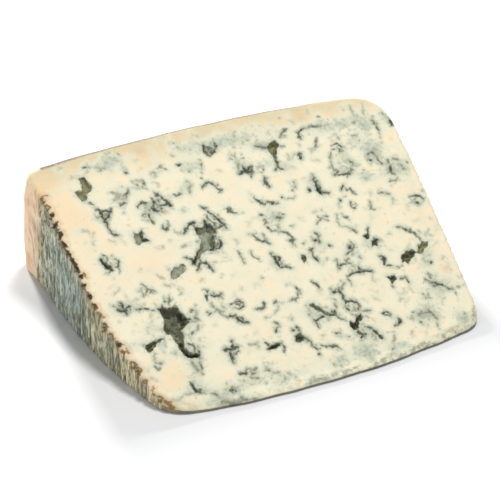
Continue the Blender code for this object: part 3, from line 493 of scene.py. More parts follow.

# The pale and dark floors are partly the pits' own colour and partly painted light and shade
# Pits with an open mouth.  name: (depth, how olive, how pale or, below 0, how dark,
# pixels around the mouth)
PITS = {
    "two_lobes": (2.6, 0.9, 0.15, (
        (78.6, 177.4), (83.5, 176.9), (89.3, 182), (93, 187.3), (90.5, 191), (87.5, 194), (87, 199.5),
        (82.5, 201.8), (77, 196.8), (75.2, 192), (81, 190.3), (81.5, 185))),
    "y_body": (1.2, 0.2, 0.6, (
        (102.5, 212.6), (109, 212.6), (107, 216.3), (105.2, 218.6), (103.5, 216.8))),
    "angular": (1.5, 0.5, 0.3, (
        (133.6, 231.8), (137, 233), (141.5, 229.8), (142.8, 236), (148.5, 240.3), (143, 242),
        (139.5, 244.6), (136, 243), (134.2, 237))),
    "star_left_pit": (2.6, 0.1, -0.9, (
        (100.6, 259.2), (103.6, 261.3), (106.6, 264.3), (110.3, 266), (109.3, 269.2), (105, 266.3),
        (102, 264))),
    "cleft": (4.4, 0.3, 0.72, (
        (204.6, 219.6), (208.8, 225), (213, 226.6), (215.3, 231.5), (213, 235.5), (213.3, 240),
        (215.7, 244.3), (213.6, 249.6), (207.7, 249.6), (202.3, 253), (199.7, 258), (195.6, 264),
        (192.2, 261.3), (196.3, 255.6), (199.3, 248), (201.2, 240.3), (198.6, 236), (195.4, 231),
        (194.4, 226.4), (199.5, 226.6), (203.3, 227.3))),
    "oval": (1.6, 0.35, 0.65, (
        (170.6, 277), (171.4, 270.5), (176, 265.6), (183, 264), (186.2, 267), (184, 272.6),
        (177.5, 276.6), (173, 279.6))),
    "u_ring_pit": (0.9, 0.2, 0.6, ((203.8, 146), (208, 146), (214.6, 147), (211, 152), (207, 152.5))),
    "olive_triangle": (3.6, 1.0, 0.0, (
        (267, 146.5), (271, 141.5), (275, 139.4), (279.3, 144), (277.6, 149.5), (276.6, 155),
        (276.8, 161), (272.6, 155.6), (269.6, 151.3))),
    "crescent_pit": (3.4, 0.1, -1.0, (
        (316.2, 184.5), (318.4, 187.5), (320.5, 190.6), (323.4, 193), (320.5, 194.5), (317.8, 191.3))),
    "small_triangle": (1.6, 0.2, 0.3, ((226, 208), (230, 205.3), (234.6, 211.6), (228, 212.6))),
    "hook_pit": (2.6, 0.1, -0.9, ((276.3, 259.5), (278, 261.5), (279.6, 266.3), (277.5, 265))),
    "tooth_pit": (2.6, 0.3, -0.3, (
        (300.6, 254.3), (306, 254), (307.2, 258), (304.3, 263.2), (302, 259.3))),
    "crack_pit": (3.2, 0.05, -1.0, (
        (205.3, 293.6), (208.3, 294.6), (209.3, 300), (207.3, 301.6), (205.6, 298))),
    "front_hole": (3.6, 0.6, -0.5, (
        (294.8, 335.3), (299.6, 333), (304.6, 335.6), (304.8, 339), (299.8, 342.6), (295.3, 340))),
    "long_slit": (2.6, 0.35, 0.25, (
        (307.6, 303.8), (313.3, 303), (320.3, 306.8), (325, 311.4), (330, 313.2), (336, 314.2),
        (335.6, 316), (327, 315), (320, 312), (314, 308.6))),
    "vee": (4.0, 0.1, -0.9, (
        (350, 321.2), (354, 322), (357.6, 316.5), (361.6, 311.6), (363, 317), (359.6, 323),
        (358.3, 328.6), (354.6, 330.3), (351, 327))),
    "star_a": (2.8, 0.5, -0.8, (
        (363, 235.6), (366.3, 232.6), (368.4, 228.6), (369.8, 234), (369.6, 238), (366, 238.8))),
    "star_b": (3.6, 0.2, -1.0, (
        (370, 239.3), (374, 240.3), (378.6, 239.6), (377.6, 243), (379, 246.3), (374.6, 245.6),
        (371.3, 246.6), (372, 242.6))),
    "right_hole": (3.8, 0.6, -0.5, (
        (400.6, 258.4), (402.4, 254), (404.6, 252.6), (406, 249.6), (409.6, 250.6), (412.6, 248.8),
        (416.6, 251.4), (414.6, 255.4), (412, 258), (410.6, 260.4), (408.4, 263), (404.6, 261.6),
        (402, 262.4))),
    "right_lobe": (2.4, 0.9, 0.05, (
        (414, 252.4), (418, 250), (417.6, 245.4), (421, 243.4), (421.6, 240), (425, 241.6),
        (428.4, 240.6), (428, 246), (425, 248.6), (423.4, 252), (418.6, 253.4))),
    "star_c": (2.8, 0.3, -0.6, (
        (385.6, 275.6), (390, 275.6), (393.6, 274), (397.3, 277.6), (394, 280), (392.3, 284.3),
        (390, 279.3))),
    "fleck_pit": (2.2, 0.2, -0.8, (
        (268, 349.3), (272, 345.3), (279, 343.8), (280, 345.6), (274.6, 348.6))),
    "big_hole": (6.2, 0.25, -0.55, (
        (162.6, 303.6), (166, 307.6), (171, 307), (176.6, 304.6), (180.6, 311), (187.6, 318),
        (190.6, 322.6), (184.6, 326.3), (180, 333), (174, 334.6), (167, 334), (162.6, 330),
        (164.6, 322.6), (162.3, 315), (158.6, 309))),
    "big_tail": (4.0, 0.45, 0.1, (
        (169, 330), (183, 329), (184, 338), (185, 346), (188.6, 351.6), (199.6, 354), (198.6, 357.4),
        (188, 357.6), (181.6, 352.6), (177.6, 345), (172.6, 337.4))),
    "dark_hole": (3.8, 0.75, -0.4, (
        (145, 345.5), (149, 342.8), (156, 340), (164, 337.8), (160.3, 342.4), (154.4, 347),
        (150.4, 352.6), (146.6, 351.4))),
    "front_slot": (2.0, 0.2, -0.2, (
        (188.6, 381), (192, 380.3), (193.6, 385.3), (198, 388), (202.3, 388.3), (201.6, 392.6),
        (196, 392.6), (192, 388.6))),
}

# Brown blots and curls where the left rim meets the rind.  name: as for the veins
RIM_MARKS = {
    "first": (1.9, 0.35, ((39.7, 200.5), (42, 198), (44.3, 196))),
    "second": (1.7, 0.4, ((43.3, 207), (46.5, 205.6), (50, 207.3), (47.6, 209.4))),
    "third": (3.4, 0.85, ((48.4, 215.6), (51.4, 215.6), (53, 213.6))),
    "third_foot": (2.2, 0.5, ((50.6, 216.5), (50.2, 220))),
    "fourth": (3.2, 0.85, ((52.8, 227), (55.7, 224.8), (57, 222.8))),
    "fifth": (3.4, 0.9, ((57.6, 232.8), (61, 232.8), (60, 236.4))),
    "fifth_foot": (2.4, 0.75, ((60, 236.4), (58.4, 239))),
    "sixth": (3.2, 0.8, ((61.6, 241.8), (64, 245), (66.2, 247.6))),
    "sixth_foot": (2.2, 0.6, ((62.4, 244.6), (65, 249.8))),
    "joined_a": (2.6, 0.8, ((66.4, 250.6), (68.6, 254.6), (71, 258.2))),
    "joined_b": (3.2, 0.95, ((70.4, 258), (73.4, 262.6), (75.6, 266.4))),
    "joined_c": (2.9, 0.9, ((75, 266), (77.2, 270), (78.4, 273))),
    "joined_spot": (2.2, 0.9, ((72.6, 266), (74.4, 268.4))),
    "seventh": (3.0, 0.85, ((77.8, 277.4), (81.2, 275.6), (81.4, 279))),
    "seventh_side": (2.4, 0.3, ((83, 272.6), (84.4, 276))),
    "eighth": (3.0, 0.8, ((80.8, 286.6), (84.4, 285.6), (84.8, 289.4))),
    "ninth": (3.2, 0.85, ((86.4, 293.4), (89.4, 296), (90.4, 299))),
    "tenth": (3.0, 0.6, ((92.6, 304.6), (95.6, 306.4), (95.4, 309))),
    "eleventh": (1.9, 0.55, ((97.6, 313), (100, 312.4), (101.4, 315.4), (99.4, 318.4))),
    "ring_104": (1.8, 0.65, ((101, 324.4), (104.4, 323.4), (106.9, 327.2), (103.6, 331), (101, 331.8))),
    "ring_104_heart": (1.4, 0.7, ((101.4, 327.4), (103.6, 328))),
    "arc_111": (2.2, 0.5, ((107.7, 334.9), (110.8, 334), (113.6, 337.1), (112.7, 340))),
    "blot_119": (3.0, 0.75, ((115.2, 343.2), (118.6, 345.3), (122.8, 344.6))),
    "blot_124": (2.2, 0.35, ((120.4, 351), (123.4, 352.6), (127, 350.8), (129, 353.6))),
    "blot_122_foot": (1.6, 0.5, ((121.4, 349), (122.4, 354))),
    "curl_132": (1.3, 0.6, (
        (129.5, 364.6), (131.4, 362), (135, 363), (134.4, 367), (131.4, 368.6), (129.5, 364.6))),
    "curl_134": (1.3, 0.6, (
        (132.4, 369.4), (134.8, 367.4), (137, 370), (135.6, 372.6), (132.8, 371.4))),
    "curl_139": (1.4, 0.5, ((140.6, 368.6), (141.6, 370.2), (139.2, 373.3), (139.8, 375.6))),
    "curl_137": (1.2, 0.5, ((135.6, 362.6), (138, 366), (137, 368.4))),
    "ring_144": (1.3, 0.6, ((142.4, 380), (144.8, 378.8), (147, 380.8), (146.2, 383.4), (143.4, 383))),
    "ring_144_heart": (1.0, 0.5, ((144.2, 381), (145.2, 381.6))),
    "dot_153": (1.9, 0.5, ((152.4, 388.8), (154, 387.8))),
    "stroke_153": (1.3, 0.4, ((152, 391.4), (152.3, 394), (153.4, 396))),
    "swirl_a": (1.3, 0.5, ((157.6, 396.4), (158.4, 400), (161.6, 403.4))),
    "swirl_b": (1.4, 0.5, ((158.6, 395.2), (163, 398.4), (164.8, 401.4), (162, 402))),
    "swirl_c": (1.2, 0.45, ((160, 398.4), (161.6, 401), (160.4, 402))),
    "end_patch": (2.6, 0.35, ((164, 401.6), (168, 404.2), (172, 407.4), (174.4, 409.4))),
    "end_patch_dark": (1.6, 0.45, ((168.4, 404.6), (172.4, 405.4), (174.6, 408.6))),
}

# Soft patches of pale blue-grey mould.  name: (middle x, y, half width, half height, strength)
HAZES = {
    "upper_left": (112, 160, 13, 8, 0.95),
    "upper_left_drop": (125, 169, 5, 11, 0.7),
    "left_knot": (119, 197, 9, 8, 0.75),
    "box": (137, 185, 8, 5, 0.45),
    "mottle": (153, 209, 15, 13, 0.7),
    "cool_spot": (184, 210, 6, 5, 0.8),
    "cleft_halo": (206, 240, 24, 24, 0.45),
    "beige_band": (228, 140, 44, 10, 0.9),
    "band_left": (186, 148, 24, 8, 0.65),
    "band_right": (340, 124, 34, 9, 0.85),
    "upper_mid": (192, 167, 14, 9, 0.7),
    "olive_foot": (266, 163, 9, 8, 0.65),
    "grey_180": (186, 187, 8, 9, 0.7),
    "two_stars": (368, 243, 10, 8, 0.6),
    "slit_halo": (314, 311, 15, 9, 0.85),
    "hole_left_halo": (151, 326, 9, 10, 0.7),
    "tail_left": (174.5, 352, 4, 5, 1.0),
    "front_slot_halo": (197, 386, 14, 10, 0.65),
    "lip_halo": (232, 390, 24, 8, 0.65),
    "front_mid": (300, 372, 26, 10, 0.45),
    "m_halo": (243, 165, 11, 13, 0.6),
    "crescent_halo": (314, 183, 9, 12, 0.8),
    "loop_halo": (343, 163, 13, 14, 0.7),
    "right_high": (372, 150, 14, 14, 1.1),
    "right_high_b": (366, 176, 12, 8, 0.85),
    "right_far": (396, 168, 18, 14, 0.85),
    "right_top": (352, 143, 16, 10, 0.6),
    "lace_halo": (274, 216, 13, 14, 0.8),
    "dot_halo": (350, 248, 8, 8, 0.85),
    "dash_halo": (353, 268, 16, 12, 0.5),
    "net_halo": (345, 300, 20, 22, 0.3),
    "vee_halo": (364, 332, 22, 14, 0.5),
    "big_halo": (190, 330, 16, 30, 0.5),
    "tail_halo": (196, 364, 12, 12, 0.6),
    "drift_halo": (220, 309, 14, 9, 0.45),
    "arc_halo": (418, 203, 10, 8, 0.5),
    "lobe_halo": (425, 258, 14, 16, 0.5),
    "sweep_halo": (438, 288, 22, 14, 0.7),
    "low_right": (426, 315, 20, 14, 0.9),
    "corner": (464, 318, 10, 10, 1.05),
    "front_patch": (367, 352, 15, 12, 1.1),
    "front_hole_halo": (300, 338, 12, 12, 0.35),
    "star_halo": (231, 351, 11, 12, 0.3),
    "fleck_halo": (123, 309, 15, 10, 0.7),
    "right_back": (386, 118, 8, 9, 0.7),
    "front_low": (258, 378, 26, 10, 0.45),
    "blue_halo": (316, 243, 10, 15, 0.6),
    "hook_halo": (277, 262, 10, 9, 0.35),
    "band_mid": (262, 146, 13, 8, 0.8),
    "right_back_low": (366, 126, 11, 8, 1.0),
    "band_320": (322, 124, 10, 8, 0.5),
    "upper_left_low": (104, 166, 14, 8, 0.75),
    "foot_right": (286, 166, 9, 8, 0.55),
    "slit_right": (326, 319, 11, 10, 0.5),
    "tail_foot": (163, 344, 7, 9, 0.85),
    "fleck_low": (134, 344, 13, 7, 0.55),
    "chunk": (342, 361, 12, 9, 0.95),
    "front_280": (284, 382, 11, 7, 0.8),
    "front_220": (222, 400, 13, 6, 1.3),
    "nose_400": (400, 345, 14, 7, 0.95),
}

# Warm patches of the upper cut face, as above
PEACH = {
    "back_left": (38, 190, 24, 26, 1.0),
    "left_rim": (70, 215, 24, 34, 0.6),
    "left_low": (110, 262, 26, 30, 0.3),
    "front_left": (175, 385, 26, 26, 0.5),
    "middle": (150, 262, 30, 22, 0.3),
    "right": (440, 262, 18, 18, 0.35),
    "low": (430, 335, 20, 14, 0.3),
    "back": (150, 150, 60, 13, 0.5),
    "right_edge": (418, 200, 13, 50, 0.35),
    "back_right": (330, 112, 40, 8, 0.45),
}

# Small tan and rusty spots.  name: (x, y, size, strength)
SPOTS = {
    "rust_128": (128.8, 225.2, 2.6, 0.6),
    "tan_164": (165, 212, 4.6, 0.75),
    "tan_252": (252, 125.9, 2.6, 0.55),
    "tan_133": (132.8, 160.3, 2.0, 0.35),
    "tan_141": (141, 168.3, 3.6, 0.35),
    "tan_163": (163.5, 247.6, 2.6, 0.55),
    "tan_385": (385, 213.6, 2.2, 0.45),
    "tan_388": (388.3, 222.3, 2.2, 0.45),
    "rust_351": (351.6, 339.8, 2.4, 0.6),
    "tan_300": (300, 381, 3.6, 0.7),
    "tan_297": (297.5, 385.5, 4.6, 0.45),
    "tan_304": (304.6, 365.6, 2.2, 0.5),
    "tan_205": (205, 337.3, 2.4, 0.5),
    "tan_183": (183.5, 289, 2.6, 0.6),
    "tan_135": (135.5, 324, 3.0, 0.35),
    "tan_409": (409, 298, 4.0, 0.35),
    "tan_383": (383, 286, 2.6, 0.3),
    "peach_445": (445, 268, 7.0, 0.3),
    "tan_254": (254, 344.6, 3.2, 0.4),
    "beige_300": (300, 117, 14.0, 0.25),
    "beige_140": (140, 151, 10.0, 0.25),
    "peach_391": (391, 138, 4.0, 0.3),
}


# ------------------------------------------------------------------ fields of the marks

PIXEL = 0.34                   # usual size of a photo pixel on the upper cut face
FAR = 4.0                      # how far from a mark its distance is still worked out
CROOK = 0.42                   # how far marks wander off their lines
CROOK_SIZE = 1.5
CROOK_SEEDS = (7.0, 8.0)
RAGGED_SIZE = 1.3              # size of the unevenness of their edges

VEIN_FULL = 1.1                # a vein's usual width, against the one given,
VEIN_UNEVEN = 0.85             # and how much of it comes and goes
VEIN_DEPTH = 0.3
VEIN_SLOPE = 0.25              # how far inside and outside its edge a vein sinks
GLOW_REACH = 1.5               # how far mould spreads out of a vein or a pit,
VEIN_GLOW = 0.8                # and how much of it, for each
PIT_GLOW = 0.6

PIT_WALL = 0.5                 # how wide a pit's wall is, seen from above,
WALL_GROWTH = 0.2              # and how much wider for each millimetre of the pit's depth
PIT_DEPTH = 0.62               # how deep the pits are cut, against the depths given above
PIT_FLOOR = 0.9                # how deep its floor is, against that,
FLOOR_UNEVEN = 0.25            # and how much of it comes and goes
PIT_RAGGED = 0.32              # how far its walls wander
PIT_LIP = 0.12                 # how far outside its mouth a pit starts to sink
TINY_RISE = 1e-9               # the least slope of a mouth's side that is divided by

PATCH_REACH = 1.15             # how much wider the soft patches are than in their tables,
RIM_WIDENING = 1.15            # and the marks of the rim
PATCH_FALL = 1.4               # how quickly a patch of mould fades

MOST_TWIGS = 3
TWIG_SPACING = 0.8
TWIG_STARTS = (0.0, 0.0, 0.6)  # most start on their vein, the others beside it
TWIG_LENGTHS = (0.25, 1.0)
TWIG_WIDTH = 0.75              # a twig's width against that of its vein
TWIG_INK = 0.8
RIM_TWIG_WIDTH = 0.6

HAZE_SHARE = 32.0              # square pixels of patch for each of its marks
HAZE_MARKS_REACH = 0.95        # how much of the patch they cover
HAZE_MARK_LENGTHS = (0.15, 1.1)
HAZE_MARK_WIDTHS = (0.3, 0.6)
HAZE_MARK_INKS = (0.15, 0.5)

FAINT_MARKS = 230              # small faint marks between those that the photo shows best
FAINT_INK = 0.4
MARKS_ACROSS = (2.0, 126.0)
MARKS_UP = (3.0, 98.0)
MARK_PARTS = (1, 3)            # least and most steps of a mark
MARK_TURN = 0.9                # how sharply it turns between them
MARK_STEPS = (0.5, 1.5)
MARK_WIDTHS = (0.35, 0.6)
MARK_INKS = (0.35, 1.0)

UNDER_MARKS = 150
UNDER_INK = 0.95
UNDER_WIDENING = 1.3
UNDER_OLIVE = 0.3
UNDER_PALE = 0.2
MOUTH_CORNERS = 12
MOUTH_SIZES = (0.8, 1.2)

# Pits of the lower cut face.
# name: (depth, place across, place up, half length, half width, heading in degrees)
UNDER_PITS = {
    "under_hole": (3.4, 34.0, 62.0, 3.6, 2.6, 40),
    "under_cleft": (3.0, 78.0, 40.0, 4.2, 1.9, 110),
    "under_slit": (2.0, 58.0, 82.0, 3.4, 1.0, 160),
    "under_star": (2.2, 96.0, 72.0, 2.4, 1.7, 15),
    "under_fleck": (1.8, 24.0, 28.0, 2.5, 1.6, 60),
    "under_spot": (1.7, 104.0, 22.0, 2.3, 1.5, 130),
}


def steps_of(chain):
    """Lengths of the chain's steps."""
    return np.linalg.norm(np.diff(chain, axis=0), axis=1)


def along(chain):
    """Share of the chain's length at each of its points."""
    steps = steps_of(chain)
    return np.concatenate(([0.0], np.cumsum(steps))) / steps.sum()


def away_from(places, start, end):
    """Each place's distance from the line between start and end, and its share along it."""
    line = end - start
    offset = places - start
    part = np.clip(offset @ line / (line @ line), 0.0, 1.0)
    return np.linalg.norm(offset - part[:, None] * line, axis=1), part


def direction(heading):
    """Step of one millimetre in a direction."""
    return np.array((math.cos(heading), math.sin(heading)))


class Fields:
    """What the veins and pits do at each place of a cut face."""

    def __init__(self, places):
        count = len(places)
        flat = np.column_stack([places, np.zeros(count)])
        crook = np.column_stack([ripple(flat, CROOK_SIZE, seed=seed) for seed in CROOK_SEEDS])
        self.places = places + CROOK * crook
        self.order = np.argsort(self.places[:, 0])
        self.sorted = self.places[self.order, 0]
        self.ragged = ripple(flat, RAGGED_SIZE)
        self.gap = np.full(count, FAR)         # distance from the nearest vein's edge
        self.ink = np.zeros(count)             # how dark that vein is
        self.haze = np.zeros(count)            # pale mould around it
        self.pit_gap = np.full(count, FAR)     # distance from the nearest pit's rim
        self.depth = np.zeros(count)
        self.olive = np.zeros(count)
        self.pale = np.zeros(count)

    def near(self, chain, margin):
        """Indices of the places within the margin of the chain's box."""
        low = chain.min(0) - margin
        high = chain.max(0) + margin
        first, last = np.searchsorted(self.sorted, (low[0], high[0]))
        which = self.order[first:last]
        up = self.places[which, 1]
        return which[(up > low[1]) & (up < high[1])]

    def glow(self, which, gap, strength):
        """Mould that spreads out of a mark, less the further its edge is."""
        spread = np.exp(-(np.maximum(gap, 0.0) / GLOW_REACH) ** 2)
        self.haze[which] = np.maximum(self.haze[which], strength * spread)

    def add_vein(self, width, ink, chain):
        """A vein along a chain of places, half as wide at its ends."""
        shares = along(chain)
        for start, end, first, last in zip(chain, chain[1:], shares, shares[1:]):
            which = self.near(np.stack([start, end]), FAR)
            half = 0.5 * width * (VEIN_FULL + VEIN_UNEVEN * self.ragged[which])
            away, part = away_from(self.places[which], start, end)
            taper = 0.5 + 0.5 * np.sqrt(bow(first + (last - first) * part))
            gap = away - half * taper
            closer = gap < self.gap[which]
            self.gap[which[closer]] = gap[closer]
            self.ink[which[closer]] = ink
            self.glow(which, gap, VEIN_GLOW * ink)

    def add_pit(self, depth, olive, pale, mouth):
        """A pit inside a closed chain, with steep ragged walls."""
        which = self.near(mouth, FAR)
        places = self.places[which]
        gap = np.full(len(which), FAR)
        within = np.zeros(len(which), bool)
        for start, end in zip(mouth, np.roll(mouth, -1, axis=0)):
            gap = np.minimum(gap, away_from(places, start, end)[0])
            crosses = (start[1] > places[:, 1]) != (end[1] > places[:, 1])
            run, rise = end - start
            rise = rise if abs(rise) > TINY_RISE else TINY_RISE
            within ^= crosses & (places[:, 0] < start[0] + (places[:, 1] - start[1]) / rise * run)
        gap = np.where(within, -gap, gap)
        closer = gap < self.pit_gap[which]
        self.pit_gap[which[closer]] = gap[closer]
        self.olive[which[closer]] = olive
        self.pale[which[closer]] = pale
        ragged = self.ragged[which]
        wall = PIT_WALL + WALL_GROWTH * depth
        sunk = depth * PIT_DEPTH * smoothstep(PIT_LIP, -wall, gap + PIT_RAGGED * ragged)
        sunk = sunk * (PIT_FLOOR + FLOOR_UNEVEN * ragged)
        self.depth[which] = np.maximum(self.depth[which], sunk)
        self.glow(which, gap, PIT_GLOW)

    def add_haze(self, middle, reach, strength):
        """A soft patch of pale mould."""
        which = self.near(np.stack([middle - reach, middle + reach]), reach.max())
        off = (self.places[which] - middle) / reach
        cover = strength * np.exp(-PATCH_FALL * (off ** 2).sum(1))
        self.haze[which] = 1.0 - (1.0 - self.haze[which]) * (1.0 - cover)

    def add_all(self, marks, widening=1.0):
        """Veins from (chain, width, darkness)."""
        for chain, width, ink in marks:
            self.add_vein(width * widening, ink, chain)

    def add_drawn(self, table, widening, twig_width, twig_ink):
        """Veins from a table of photo pixels, with twigs along each."""
        for name, (width, ink, pixels) in table.items():
            chain = on_cut_face(pixels)
            self.add_vein(widening * width * PIXEL, ink, chain)
            for twig in twigs(name, chain):
                self.add_vein(twig_width * width * PIXEL, twig_ink * ink, twig)

    def vein_depth(self):
        """How deep the veins are sunk."""
        return VEIN_DEPTH * (smoothstep(VEIN_SLOPE, -VEIN_SLOPE, self.gap) * self.ink)


def twigs(seed, chain):
    """Short side twigs and crumbs of mould along a vein, as chains of two places."""
    draw = random.Random(seed)
    shares = along(chain)
    found = []
    for _ in range(min(MOST_TWIGS, int(steps_of(chain).sum() / TWIG_SPACING))):
        share = draw.random()
        root = np.array([np.interp(share, shares, chain[:, axis]) for axis in (0, 1)])
        ahead = direction(draw.uniform(0.0, math.tau))
        start = root + ahead * draw.choice(TWIG_STARTS)
        found.append(np.array([start, start + ahead * draw.uniform(*TWIG_LENGTHS)]))
    return found


def haze_marks(seed, patch):
    """Small grey marks strewn over a soft patch, as (chain, width, darkness)."""
    x, y, half_width, half_height, strength = patch
    draw = random.Random(seed)
    marks = []
    for _ in range(int(strength * half_width * half_height / HAZE_SHARE)):
        angle = draw.uniform(0.0, math.tau)
        reach = math.sqrt(draw.random()) * HAZE_MARKS_REACH
        start = shown_at(x + half_width * reach * math.cos(angle),
                         y + half_height * reach * math.sin(angle))
        heading = draw.uniform(0.0, math.tau)
        end = start + draw.uniform(*HAZE_MARK_LENGTHS) * direction(heading)
        width = draw.uniform(*HAZE_MARK_WIDTHS)
        marks.append((np.array([start, end]), width, draw.uniform(*HAZE_MARK_INKS)))
    return marks


def scattered(seed, count, darkest):
    """Short bent veins at random places, as (chain, width, darkness)."""
    draw = random.Random(seed)
    marks = []
    for _ in range(count):
        place = np.array((draw.uniform(*MARKS_ACROSS), draw.uniform(*MARKS_UP)))
        heading = draw.uniform(0.0, math.tau)
        chain = [place]
        for _ in range(draw.randint(*MARK_PARTS)):
            heading += draw.gauss(0.0, MARK_TURN)
            place = place + draw.uniform(*MARK_STEPS) * direction(heading)
            chain.append(place)
        width = draw.uniform(*MARK_WIDTHS)
        marks.append((np.array(chain), width, darkest * draw.uniform(*MARK_INKS)))
    return marks


def patch_of(x, y, half_width, half_height):
    """Middle and reach on the upper cut face of a soft patch given by photo pixels."""
    return shown_at(x, y), np.array((half_width, half_height)) * PIXEL * PATCH_REACH


def upper_fields(places):
    """Fields of everything the photo shows on the upper cut face."""
    fields = Fields(places)
    fields.add_drawn(VEINS, 1.0, TWIG_WIDTH, TWIG_INK)
    for depth, olive, pale, pixels in PITS.values():
        fields.add_pit(depth, olive, pale, on_cut_face(pixels))
    for *patch, strength in HAZES.values():
        fields.add_haze(*patch_of(*patch), strength)
    fields.add_all(scattered("faint marks of the upper face", FAINT_MARKS, FAINT_INK))
    for name, patch in HAZES.items():
        fields.add_all(haze_marks(name, patch))
    return fields


def rim_fields(places):
    """Fields of the brown marks along the left rim."""
    fields = Fields(places)
    fields.add_drawn(RIM_MARKS, RIM_WIDENING, RIM_TWIG_WIDTH, 1.0)
    return fields


def under_mouth(across, up, half_length, half_width, heading):
    """The uneven oval mouth of a pit of the lower cut face."""
    turned = math.radians(heading)
    draw = random.Random(int(across))
    mouth = []
    for corner in range(MOUTH_CORNERS):
        angle = math.tau * corner / MOUTH_CORNERS
        size = draw.uniform(*MOUTH_SIZES)
        first = half_length * size * math.cos(angle)
        second = half_width * size * math.sin(angle)
        mouth.append((across + first * math.cos(turned) - second * math.sin(turned),
                      up + first * math.sin(turned) + second * math.cos(turned)))
    return np.array(mouth)


def lower_fields(places):
    """Fields of the lower cut face: as the upper one, with its own marks."""
    fields = Fields(places)
    fields.add_all(scattered("veins of the lower face", UNDER_MARKS, UNDER_INK), UNDER_WIDENING)
    for depth, *oval in UNDER_PITS.values():
        fields.add_pit(depth, UNDER_OLIVE, UNDER_PALE, under_mouth(*oval))
    return fields


def zone(places, patches):
    """How strongly soft patches, given by photo pixels, cover each place of the upper face."""
    cover = np.zeros(len(places))
    for *patch, strength in patches.values():
        middle, reach = patch_of(*patch)
        off = (places - middle) / reach
        cover = np.maximum(cover, strength * np.exp(-(off ** 2).sum(1)))
    return cover


# ------------------------------------------------------------------ plan and rind

LEFT, RIGHT, WALL, NOSE, CORNER = 1, 2, 3, 4, 5
LEFT_LOW = NOSE_START + ROUND_FRONT_LEFT
LEFT_HIGH = RADIUS - ROUND_BACK_LEFT
SHALLOWEST_GROOVE = 0.6        # against the deepest of its flat
GROOVE_SHAKE = 0.07            # how far a groove is off its place, in pitches
CURVE_SHARE = 0.9              # length of an edge's curve against that of its two legs


def left_flat(up):
    """Across-coordinate of the left flat at a distance from the axis."""
    share = up / RADIUS
    lip = LIP * np.exp(-(RADIUS - up) / LIP_REACH)
    return LEFT_TIP_INSET * (1.0 - share) - LEFT_BOW * bow(share) - lip


def right_flat(up):
    """Across-coordinate of the right flat at a distance from the axis."""
    share = up / RADIUS
    return WIDTH - RIGHT_TIP_INSET * (1.0 - share) + RIGHT_BOW * bow(share)


def outer_wall(across):
    """Distance of the outer wall from the axis."""
    share = np.maximum(0.0, across) / WIDTH
    return RADIUS - WALL_TAPER * share + WALL_BOW * bow(share)


def nose(across):
    """Distance of the blunt tip from the axis; negative where it passes it."""
    share = (across - LEFT_TIP_INSET) / (WIDTH - LEFT_TIP_INSET - RIGHT_TIP_INSET)
    return NOSE_START - NOSE_BOW * bow(share)


def spaced(start, end, step):
    """Evenly spaced values from start to end."""
    return np.linspace(start, end, max(2, int(abs(end - start) / step) + 1))


def bend(start, corner, end, steps):
    """Points strictly between start and end on a curve pulled towards the corner."""
    return pulled(start, corner, end, (np.arange(1, steps) / steps)[:, None])


def plan_points():
    """The closed plan, clockwise from the front left, and the side each point is on."""
    back_left = np.array((left_flat(RADIUS), RADIUS))
    back_right = np.array((WIDTH, outer_wall(WIDTH)))
    front_right = np.array((WIDTH - RIGHT_TIP_INSET, NOSE_START))
    front_left = np.array((LEFT_TIP_INSET, NOSE_START))

    ups = spaced(LEFT_LOW, LEFT_HIGH, LEFT_STEP)
    left = np.stack([left_flat(ups), ups], axis=1)
    across = spaced(back_left[0] + ROUND_BACK_LEFT, WIDTH - ROUND_BACK_RIGHT, HIDDEN_STEP)
    wall = np.stack([across, outer_wall(across)], axis=1)
    ups = spaced(back_right[1] - ROUND_BACK_RIGHT, NOSE_START + ROUND_FRONT_RIGHT, HIDDEN_STEP)
    right = np.stack([right_flat(ups), ups], axis=1)
    across = spaced(front_right[0] - ROUND_FRONT_RIGHT, front_left[0] + ROUND_FRONT_LEFT, NOSE_STEP)
    tip = np.stack([across, nose(across)], axis=1)

    pieces = [
        (left, LEFT),
        (bend(left[-1], back_left, wall[0], CORNER_COLUMNS["back left"]), CORNER),
        (wall, WALL),
        (bend(wall[-1], back_right, right[0], CORNER_COLUMNS["back right"]), CORNER),
        (right, RIGHT),
        (bend(right[-1], front_right, tip[0], CORNER_COLUMNS["front right"]), CORNER),
        (tip, NOSE),
        (bend(tip[-1], front_left, left[0], CORNER_COLUMNS["front left"]), CORNER),
    ]
    points = np.concatenate([points for points, _ in pieces])
    sides = np.concatenate([np.full(len(points), side) for points, side in pieces])
    return points, sides


def plane_height(up):
    """Height of the upper cut face at a distance up that face."""
    return TIP_PLANE + up * math.sin(ANGLE)


def raised(places):
    """Points in space of places (across, up) of the upper cut face."""
    return np.column_stack([places[:, 0], places[:, 1] * math.cos(ANGLE), plane_height(places[:, 1])])


def lean(up):
    """How upright a groove stands: 1 upright, 0 following the turn of the wheel."""
    upright = 1.0 - smoothstep(GROOVES_UPRIGHT_TO, LEFT_HIGH, up)
    return upright * smoothstep(LEFT_LOW, FIRST_GROOVE, up)


def groove_table(high, deepest, seed):
    """(middle, depth) of each groove of a flat, from the first one to near its upper end."""
    draw = random.Random(seed)
    grooves = []
    centre = FIRST_GROOVE
    while centre + GROOVE_PITCH < high:
        depth = deepest * draw.uniform(SHALLOWEST_GROOVE, 1.0)
        grooves.append((centre + GROOVE_PITCH * draw.uniform(-GROOVE_SHAKE, GROOVE_SHAKE), depth))
        centre += GROOVE_PITCH
    return grooves


LEFT_GROOVES = groove_table(LEFT_HIGH, GROOVE_DEPTH, "left flat")
RIGHT_GROOVES = groove_table(outer_wall(WIDTH) - ROUND_BACK_RIGHT, RIGHT_GROOVE_DEPTH, "right flat")


def groove_depth(up, grooves):
    """Depth of the grooves at a place on a flat."""
    depth = np.zeros(len(up))
    for middle, deep in grooves:
        off = np.clip(np.abs(up - middle) / GROOVE_HALF_WIDTH, 0.0, 1.0)
        depth += deep * 0.5 * (1.0 + np.cos(math.pi * off))
    return depth


